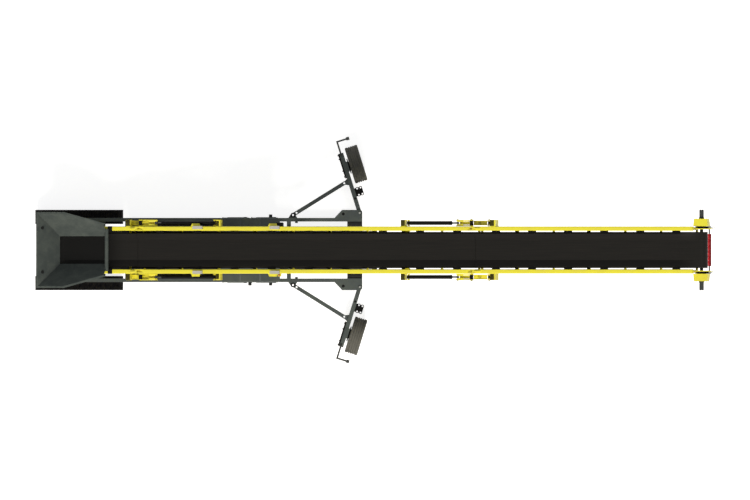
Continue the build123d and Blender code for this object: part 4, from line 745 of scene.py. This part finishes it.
rear_u = trough_u - rear_lean * (rear_w - trough_w) - 0.0165
rear_ribs = copies(
    "rear_ribs", block("rib", 0.600, 0.060, 0.040, 0.008),
    [
        framed(belt_frame @ Vector((rear_u, y, rear_w)), rear_dir, rear_out)
        for y in (-0.5, 0.0, 0.5)
    ],
)
fit_piece(rear_ribs, "tail", hopper_plate)

# Skirts and clamps: rubber strips close the gap between belt and rail at the hopper's mouth.
# Black steel clamps hold its front corners.
skirts = copies(
    "mouth_skirts", block("skirt", 0.470, 0.056, 0.012, 0.003),
    [belt_frame @ Matrix.Translation((-0.680, side * 0.529, -0.030)) for side in (-1, 1)],
)
fit_piece(skirts, "tail", black_rubber)
clamps = copies(
    "corner_clamps", block("clamp", 0.130, 0.140, 0.034, 0.006),
    [belt_frame @ Matrix.Translation((-0.800, side * 0.6205, -0.002)) for side in (-1, 1)],
)
fit_piece(clamps, "tail", black_enamel)

# Take-up screws: threaded rods that draw the tail drum's bearings back.
# Each runs through a welded lug, with a nut before it.
screw_y, screw_w = 0.662, -0.298
screw = turned(
    "screw", [(0.0, 0.0), (0.011, 0.0), (0.011, 0.280), (0.009, 0.283), (0.0, 0.283)], 12,
)
screws = copies(
    "take_up_screws", screw,
    [aimed(belt_frame @ Vector((-2.455, side * screw_y, screw_w)), belt_dir) for side in (-1, 1)],
)
fit_piece(screws, "tail", zinc_plate)
lugs = copies(
    "take_up_lugs", block("lug", 0.030, 0.080, 0.052, 0.004),
    [
        framed(belt_frame @ Vector((-2.240, side * 0.6355, screw_w)), side * belt_dir, (0, side, 0))
        for side in (-1, 1)
    ],
)
fit_piece(lugs, "tail", yellow_enamel)
screw_nuts = copies(
    "take_up_nuts", hex_bolt(0.034, 0.016),
    [aimed(belt_frame @ Vector((-2.222, side * screw_y, screw_w)), belt_dir) for side in (-1, 1)],
)
fit_piece(screw_nuts, "tail", zinc_plate)

# Fold gear and lift gear: forged yellow levers and straps, black tubular cylinders, chromed rods.
# A steel oil pipe runs along each barrel between two port blocks.
dress(yellow_enamel, "head_levers", "head_links", "tail_levers", "tail_links")
dress(black_enamel, "head_barrels", "tail_barrels", "lift_barrels")
hard_chrome = mottled("hard_chrome_rod", "#3c3d3d", "#4b4c4b", 0.05, 4.0, 0.25, 1.0, 0.5)
dress(hard_chrome, "head_rods", "tail_rods", "lift_rods")

# Pins of the fold gear, along and above the belt: the cylinder's foot and the rod's tip,
# the lever's pivot and the link's far pin.
fold_y = 0.783
head_foot, head_tip = (8.212, -0.140), (9.695, -0.160)
head_pivot, head_far = (10.140, -0.070), (10.620, -0.260)
tail_foot, tail_tip = (2.330, -0.140), (0.545, -0.160)
tail_pivot, tail_far = (0.100, -0.070), (-0.260, -0.260)
# columns: body, base pin, rod pin, distance from the middle, barrel radius, first and last port
cylinders = [
    ("lift_barrels", (-2.501, 1.180), (0.9303, 3.9586), 0.480, 0.072, 0.24, 3.06),
    ("head_barrels", head_foot, head_tip, fold_y, 0.057, 0.12, 1.20),
    ("tail_barrels", tail_foot, tail_tip, fold_y, 0.057, 0.12, 1.50),
]
for body, base, tip, y, radius, port_in, port_out in cylinders:
    ports, pipes = [], []
    for side in (-1, 1):
        foot, head = Vector((base[0], side * y, base[1])), Vector((tip[0], side * y, tip[1]))
        if body != "lift_barrels":
            foot, head = belt_frame @ foot, belt_frame @ head
        run = (head - foot).normalized()
        up = (belt_up - belt_up.dot(run) * run).normalized()
        ports += [
            framed(foot + s * run + (radius - 0.006) * up, run, up) for s in (port_in, port_out)
        ]
        pipes.append(aimed(foot + port_in * run + (radius + 0.016) * up, run))
    port_block = block("port", 0.070, 0.050, 0.044, 0.006)
    fit_piece(copies(body + "_ports", port_block, ports), body, black_enamel)
    length = port_out - port_in
    pipe = turned("pipe", [(0.0, 0.0), (0.009, 0.0), (0.009, length), (0.0, length)], 12)
    fit_piece(copies(body + "_pipes", pipe, pipes), body, black_enamel)

# Lever and link plates: yellow flanges are welded along the upper edges of the lever cheeks and
# leave a slot that the rod swings through. A tongue from the pivot boss fills the lever lower
# down, and a web plate joins the two straps of each link.
for fold, tip, pivot, far in (
    ("head", head_tip, head_pivot, head_far), ("tail", tail_tip, tail_pivot, tail_far),
):
    # columns: body, piece, end of the run, length, width, place along and above it, places across
    for body, name, end, length, width, along, above, across in (
        ("levers", "flanges", pivot, 0.190, 0.063, 0.115, 0.049, (-0.0615, 0.0615)),
        ("levers", "tongues", pivot, 0.405, 0.080, 0.2425, -0.061, (0.0,)),
        ("links", "webs", far, 0.400, 0.094, 0.675, 0.018, (0.0,)),
    ):
        run = Vector((end[0] - tip[0], 0, end[1] - tip[1])).normalized()
        up = Vector((-run.z, 0, run.x)) if run.x > 0 else Vector((run.z, 0, -run.x))
        spot = Vector((tip[0], 0, tip[1])) + along * run + above * up
        plate = copies(
            "%s_%s_%s" % (fold, body, name), block("plate", length, width, 0.012, 0.002),
            [
                framed(
                    belt_frame @ (spot + Vector((0, side * (fold_y + y), 0))),
                    belt_frame.to_3x3() @ run, belt_frame.to_3x3() @ up,
                )
                for side in (-1, 1) for y in across
            ],
        )
        fit_piece(plate, "%s_%s" % (fold, body), yellow_enamel)

# Bracket tops: thin plates on the brackets of the fold gear, in a dark olive.
# The dark olive is painted shade, standing in for the shaded inside of the open yellow brackets.
painted_shade_plate = enamel("painted_shade_plate", "#3d3912", "#24220c", 0.1, 0.5, 0.1)
# columns: body, start and end along the belt, place above it, width, middle of the width
for body, rows in (
    ("main", [(2.408, 2.497, -0.0155, 0.150, 0.766), (8.010, 8.134, -0.0155, 0.178, 0.784)]),
    ("head", [(10.718, 10.838, -0.0105, 0.172, 0.782)]),
    ("tail", [(-0.317, -0.203, -0.0105, 0.178, 0.784)]),
):
    for n, (start, stop, w, width, y) in enumerate(rows):
        shade_tops = copies(
            "%s_bracket_tops_%d" % (body, n),
            block("bracket_top", stop - start, width, 0.006, 0.002),
            [
                belt_frame @ Matrix.Translation(((start + stop) / 2, side * y, w))
                for side in (-1, 1)
            ],
        )
        fit_piece(shade_tops, body, painted_shade_plate)

# Bushes: sealed steel bushes in black that run across the lane,
# pressed onto the lever pivots and onto the far pins of the links.
# columns: body, place along and above the belt, bore, bush radius, half its length
bush_edge = 0.002
for body, (u, w), bore, radius, reach in (
    ("head_levers", head_pivot, 0.0462, 0.050, 0.072),
    ("tail_levers", tail_pivot, 0.0462, 0.050, 0.072),
    ("head_links", head_far, 0.0282, 0.041, 0.047),
    ("tail_links", tail_far, 0.0282, 0.041, 0.047),
):
    bush = turned(
        "bush",
        [(bore, -reach), (radius - bush_edge, -reach), (radius, bush_edge - reach),
         (radius, reach - bush_edge), (radius - bush_edge, reach), (bore, reach), (bore, -reach)],
        28,
    )
    bushes = copies(
        body + "_bushes", bush,
        [aimed(belt_frame @ Vector((u, side * fold_y, w)), (0, 1, 0)) for side in (-1, 1)],
    )
    fit_piece(bushes, body, black_enamel)

# Fold discs: black retaining discs on the outer ends of the fold pins,
# each held by one central bolt.
# columns: body, places along and above the belt, distance of the pin's end from the middle
fold_pins = [
    ("main", [head_pivot, tail_pivot], 0.884),
    ("head_levers", [head_tip], 0.876), ("tail_levers", [tail_tip], 0.876),
    ("head", [head_far], 0.876), ("tail", [tail_far], 0.876),
]
for body, spots, y in fold_pins:
    discs = copies(
        body + "_fold_discs", pin_disc(0.044),
        [
            aimed(belt_frame @ Vector((u, side * y, w)), (0, side, 0))
            for u, w in spots for side in (-1, 1)
        ],
    )
    fit_piece(discs, body, black_enamel)

# Head drive: a lagged drum, covers over the chains, grey orbital motors and zinc lifting eyes.
# The scraper is a row of six red polyurethane blades on a black cross tube; the darker red of their
# backings is painted shade.
motor_enamel = enamel("motor_grey_enamel", "#3b3e3d", "#464846", 0.2, 0.45, 0.15)
dress(motor_enamel, "drive_motors")
dress(black_enamel, "head_bearings")
dress(zinc_plate, "lifting_eyes")
drum_u, drum_w = 17.051, -0.278
motor_face_y, motor_circle, cover_face_y, slide_face_y = 1.164, 0.045, 0.907, 0.625
motor_bolts = copies(
    "motor_bolts", hex_bolt(0.018, 0.010),
    [
        aimed(
            belt_frame @ Vector((
                drum_u + motor_circle * cos(turn), side * motor_face_y,
                drum_w + motor_circle * sin(turn),
            )),
            (0, side, 0),
        )
        for turn in (pi / 4, 3 * pi / 4, 5 * pi / 4, 7 * pi / 4) for side in (-1, 1)
    ],
)
fit_piece(motor_bolts, "head", motor_enamel)
cover_bolts = copies(
    "cover_bolts", hex_bolt(0.022, 0.010),
    [
        aimed(belt_frame @ Vector((drum_u + u, side * cover_face_y, drum_w + w)), (0, side, 0))
        for u in (-0.165, 0.180) for w in (-0.070, 0.110) for side in (-1, 1)
    ],
)
fit_piece(cover_bolts, "head", yellow_enamel)

# Bearing slides: black flat bars under the drum's bearing blocks, welded to the rails.
# They let the drum be squared to the belt.
slides = copies(
    "bearing_slides", block("slide", 0.470, 0.048, 0.062, 0.005),
    [
        framed(
            belt_frame @ Vector((drum_u + 0.015, side * slide_face_y, drum_w - 0.122)),
            side * belt_dir, (0, side, 0),
        )
        for side in (-1, 1)
    ],
)
fit_piece(slides, "head", black_enamel)

blade_width, blade_pitch, blade_low = 0.1555, 0.1557, 6.9644
blade = block("blade", 0.0455, blade_width, 0.100, 0.001)
choose_faces(blade, lambda centre, normal: normal.x > 0.9)
bpy.ops.transform.resize(value=(1, 1, 0.8), center_override=(0, 0, 0.020))
bpy.ops.object.mode_set(mode="OBJECT")
blades = copies(
    "scraper_blades", blade,
    [Matrix.Translation((9.6680, blade_pitch * (n - 2.5), blade_low)) for n in range(6)],
)
fit_piece(blades, "head", red_enamel)
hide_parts("belt_scraper")
# Painted shade: the backings are a darker copy of the blades' red, for the side of the blades
# turned from the light.
shaded_red = enamel("painted_shade_red", "#7a0f15", "#650d12", 0.15, 0.55, 0.1)
backing = block("backing", 0.058, blade_width, 0.070, 0.001)
choose_faces(backing, lambda centre, normal: normal.x > 0.9)
bpy.ops.transform.resize(value=(1, 1, 0.4), center_override=(0, 0, 0.010))
bpy.ops.object.mode_set(mode="OBJECT")
backings = copies(
    "scraper_backings", backing,
    [Matrix.Translation((9.7195, blade_pitch * (n - 2.5), blade_low)) for n in range(6)],
)
fit_piece(backings, "head", shaded_red)
tube = turned("scraper_tube", [(0.0, -0.600), (0.020, -0.600), (0.020, 0.600), (0.0, 0.600)], 20)
tube.data.transform(aimed((9.6906, 0, 7.0144), (0, 1, 0)))
fit_piece(tube, "head", black_enamel)
drum_steel = mottled("lagged_drum", "#1e1e1d", "#3a3937", 0.03, 4.0, 0.6, 0.4, 0.2)
dress(drum_steel, "head_drum", "tail_drum")

# Wheel legs: welded box arms on vertical pins, braced by the stays, each with a hub drive
# and a bent marker arm at its end.
dress(grey_enamel, "leg_left", "leg_right", "stay_left", "stay_right")
dress(charcoal_enamel, "hub_drive_left", "hub_drive_right")
dress(motor_enamel, "marker_arm_left", "marker_arm_right")
dress(black_enamel, "drilled_plate_left", "drilled_plate_right")
leg_lean = radians(17.24)
leg_top = 1.030
for side_name, side in (("left", 1), ("right", -1)):
    leg_plug = turned(
        "leg_plug_" + side_name, [(0.0, 0.005), (0.024, 0.005), (0.032, 0.0), (0.0, 0.0)], 24,
    )
    leg_plug.data.transform(Matrix.Translation((-0.5787, side * 1.4942, leg_top)))
    fit_piece(leg_plug, "leg_" + side_name, black_rubber)

# Hub carriers: a grey plate on the top of each leg end and a black one bolted to its rear flank.
# Black rings are welded round the drilled plates' holes; thrust washers lie round the stay pins.


def on_leg(side, along, toward_tail, height):
    """Place from a distance out along a leg, one toward the tail and a height."""
    x = leg_pivot[0] - along * sin(leg_lean) - toward_tail * cos(leg_lean)
    y = leg_pivot[1] + along * cos(leg_lean) - toward_tail * sin(leg_lean)
    return Vector((x, side * y, height))


for side_name, side in (("left", 1), ("right", -1)):
    out = (-sin(leg_lean), side * cos(leg_lean), 0)
    behind = (-cos(leg_lean), -side * sin(leg_lean), 0)
    carrier = block("carrier_top_" + side_name, 0.570, 0.114, 0.012, 0.004)
    carrier.data.transform(framed(on_leg(side, 1.530, 0.0, leg_top), out, (0, 0, 1)))
    fit_piece(carrier, "leg_" + side_name, grey_enamel)
    flank = block("carrier_flank_" + side_name, 0.740, 0.150, 0.042, 0.004)
    flank.data.transform(framed(on_leg(side, 1.445, 0.060, 0.955), out, behind))
    fit_piece(flank, "leg_" + side_name, black_enamel)
    carrier_bolts = copies(
        "carrier_bolts_" + side_name, hex_bolt(0.034, 0.018),
        [
            aimed(on_leg(side, along, 0.106, height), behind)
            for along in (1.13, 1.30, 1.66, 1.77) for height in (0.915, 0.995)
        ],
    )
    fit_piece(carrier_bolts, "leg_" + side_name, black_enamel)
    ring = turned(
        "plate_ring",
        [(0.0245, 0.0), (0.0245, 0.006), (0.043, 0.006), (0.046, 0.003), (0.046, 0.0),
         (0.0245, 0.0)],
        28,
    )
    rings = copies(
        "plate_rings_" + side_name, ring,
        [
            Matrix.Translation(on_leg(side, 0.604 + along, -0.190 + across, 0.970))
            for along in (-0.095, 0.095) for across in (-0.052, 0.052)
        ],
    )
    fit_piece(rings, "leg_" + side_name, black_enamel)
    washer = turned(
        "stay_washer_" + side_name,
        [(0.0365, 0.0), (0.0365, 0.004), (0.064, 0.004), (0.068, 0.002), (0.068, 0.0),
         (0.0365, 0.0)],
        32,
    )
    washer.data.transform(Matrix.Translation((-2.382, side * 1.015, 0.997)))
    fit_piece(washer, "chassis", black_enamel)

# Wheels: wide radial truck tyres with five ribs on dished steel rims.
# The tyre is moulded rubber, grey with dust in the grooves; the rims are sprayed silver grey.
tyre_rubber = mottled("tyre_rubber", "#5b5b57", "#6b6961", 0.12, 7.0, 0.8, 0.0, 0.15)
rim_enamel = enamel("rim_grey_enamel", "#5d6163", "#54554e", 0.2, 0.38, 0.35)
dress(rim_enamel, "rim_left", "rim_right")

tyre_radius = 0.538
groove_floor = 0.518
shoulder_start, shoulder_radius, lug_depth = 0.108, 0.510, 0.008
tread_steps = 108
wheel_centre = (-0.552198, 2.491866)
nut_circle, nut_count = 0.200, 10
half_tread = [
    (tyre_radius, 0.0), (tyre_radius, 0.022), (groove_floor, 0.026), (groove_floor, 0.040),
    (tyre_radius, 0.044), (tyre_radius, 0.084), (groove_floor, 0.088), (groove_floor, 0.102),
    (tyre_radius, 0.106), (0.5375, 0.156), (0.534, 0.170), (0.526, 0.180), (0.510, 0.1855),
    (0.460, 0.188), (0.430, 0.188), (0.400, 0.187), (0.360, 0.180), (0.325, 0.167), (0.306, 0.158),
    (0.300, 0.152), (0.2864, 0.150),
]
tyre_outline = [(r, -t) for r, t in reversed(half_tread)] + half_tread[1:]
for side_name, side in (("left", 1), ("right", -1)):
    tyre = turned("tyre_tread_" + side_name, tyre_outline + [tyre_outline[0]], tread_steps)
    # Every third step of the shoulders is pressed in between the lugs.
    choose_faces(
        tyre,
        lambda centre, normal: abs(centre.z) > shoulder_start and centre.xy.length > shoulder_radius
        and int((Vector((1, 0)).angle_signed(centre.xy) % tau) / tau * tread_steps) % 3 == 0,
    )
    bpy.ops.mesh.extrude_region_shrink_fatten(TRANSFORM_OT_shrink_fatten={"value": -lug_depth})
    bpy.ops.object.mode_set(mode="OBJECT")
    axle = (cos(leg_lean), side * sin(leg_lean), 0)
    wheel = aimed((wheel_centre[0], side * wheel_centre[1], tyre_radius), axle)
    tyre.data.transform(wheel)
    fit_piece(tyre, "wheel_" + side_name, tyre_rubber)
    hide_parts("tyre_" + side_name)

    # Ten nuts on studs hold the disc, and a turned cap closes the hub.
    nuts = copies(
        "wheel_nuts_" + side_name, hex_bolt(0.032, 0.024),
        [
            wheel @ Matrix.Translation((nut_circle * cos(turn), nut_circle * sin(turn), -0.094))
            for turn in (tau * n / nut_count for n in range(nut_count))
        ],
    )
    fit_piece(nuts, "wheel_" + side_name, zinc_plate)
    hub_cap = turned(
        "hub_cap_" + side_name,
        [(0.0, 0.030), (0.060, 0.029), (0.078, 0.022), (0.086, 0.010), (0.100, 0.008), (0.104, 0.0),
         (0.0, 0.0)],
        32,
    )
    hub_cap.data.transform(wheel @ Matrix.Translation((0, 0, -0.055)))
    fit_piece(hub_cap, "wheel_" + side_name, black_enamel)

    # The hub drive's gear flange is bolted to its carrier, close to the tyre's inner side.
    hub_flange = turned(
        "hub_flange_" + side_name,
        [(0.1405, 0.0), (0.215, 0.0), (0.225, 0.006), (0.225, 0.022), (0.215, 0.030),
         (0.165, 0.032), (0.1405, 0.032), (0.1405, 0.0)],
        48,
    )
    hub_flange.data.transform(wheel @ Matrix.Translation((0, 0, -0.2305)))
    fit_piece(hub_flange, "leg_" + side_name, charcoal_enamel)

# Floor, light and camera: a pale studio floor, a broad warm lamp from the right-hand side,
# a weaker cool one from the left, and a camera straight above with parallel rays.
bpy.ops.object.select_all(action="DESELECT")
bpy.ops.mesh.primitive_plane_add(size=400)
floor = bpy.context.object
floor.name = "floor"
studio_floor, shader, place = new_finish("white_studio_floor", 0.9, 0.0, 0.0)
shader.inputs["Base Color"].default_value = linear("#e6e6e6")
rays = add_node(studio_floor, "ShaderNodeLightPath", {}, {})
seen = add_node(
    studio_floor, "ShaderNodeMath", {"operation": "MAXIMUM"},
    {0: rays.outputs["Is Camera Ray"], 1: rays.outputs["Is Glossy Ray"]},
)
studio_floor.node_tree.links.new(seen.outputs["Value"], shader.inputs["Emission Strength"])
shader.inputs["Emission Color"].default_value = linear("#e3e3e3")
floor.data.materials.append(studio_floor)
floor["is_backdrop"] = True

scene = bpy.context.scene
scene.view_settings.view_transform = "Standard"
studio = bpy.data.worlds.new("studio")
studio.use_nodes = True
scene.world = studio
rays = add_node(studio, "ShaderNodeLightPath", {}, {})
direct = add_node(
    studio, "ShaderNodeMath", {"operation": "MAXIMUM"},
    {0: rays.outputs["Is Camera Ray"], 1: rays.outputs["Is Glossy Ray"]},
)
shown = add_node(
    studio, "ShaderNodeMath", {"operation": "MAXIMUM"},
    {0: direct.outputs["Value"], 1: rays.outputs["Is Transmission Ray"]},
)
strength = add_node(
    studio, "ShaderNodeMapRange", {"To Min": 0.29, "To Max": 1.0},
    {"Value": shown.outputs["Value"]},
)
backdrop = studio.node_tree.nodes["Background"]
backdrop.inputs["Color"].default_value = linear("#ffffff")
studio.node_tree.links.new(strength.outputs["Result"], backdrop.inputs["Strength"])

# columns: name, tilt about X, strength, colour, spread
for name, tilt, power, tint, spread in (
    ("key_lamp", 40, 2.85, "#fff9ef", 22), ("fill_lamp", -50, 0.12, "#cfe2ff", 40),
):
    bpy.ops.object.light_add(type="SUN", location=(0, 0, 20), rotation=(radians(tilt), 0, 0))
    lamp = bpy.context.object
    lamp.name = name
    lamp.data.energy = power
    lamp.data.color = linear(tint)[:3]
    lamp.data.angle = radians(spread)

bpy.ops.object.camera_add(location=(-0.004, 0, 40), rotation=(0, 0, 0))
camera = bpy.context.object
camera.data.type = "ORTHO"
camera.data.ortho_scale = 21.75
camera.data.clip_end = 200
scene.camera = camera

low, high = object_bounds()
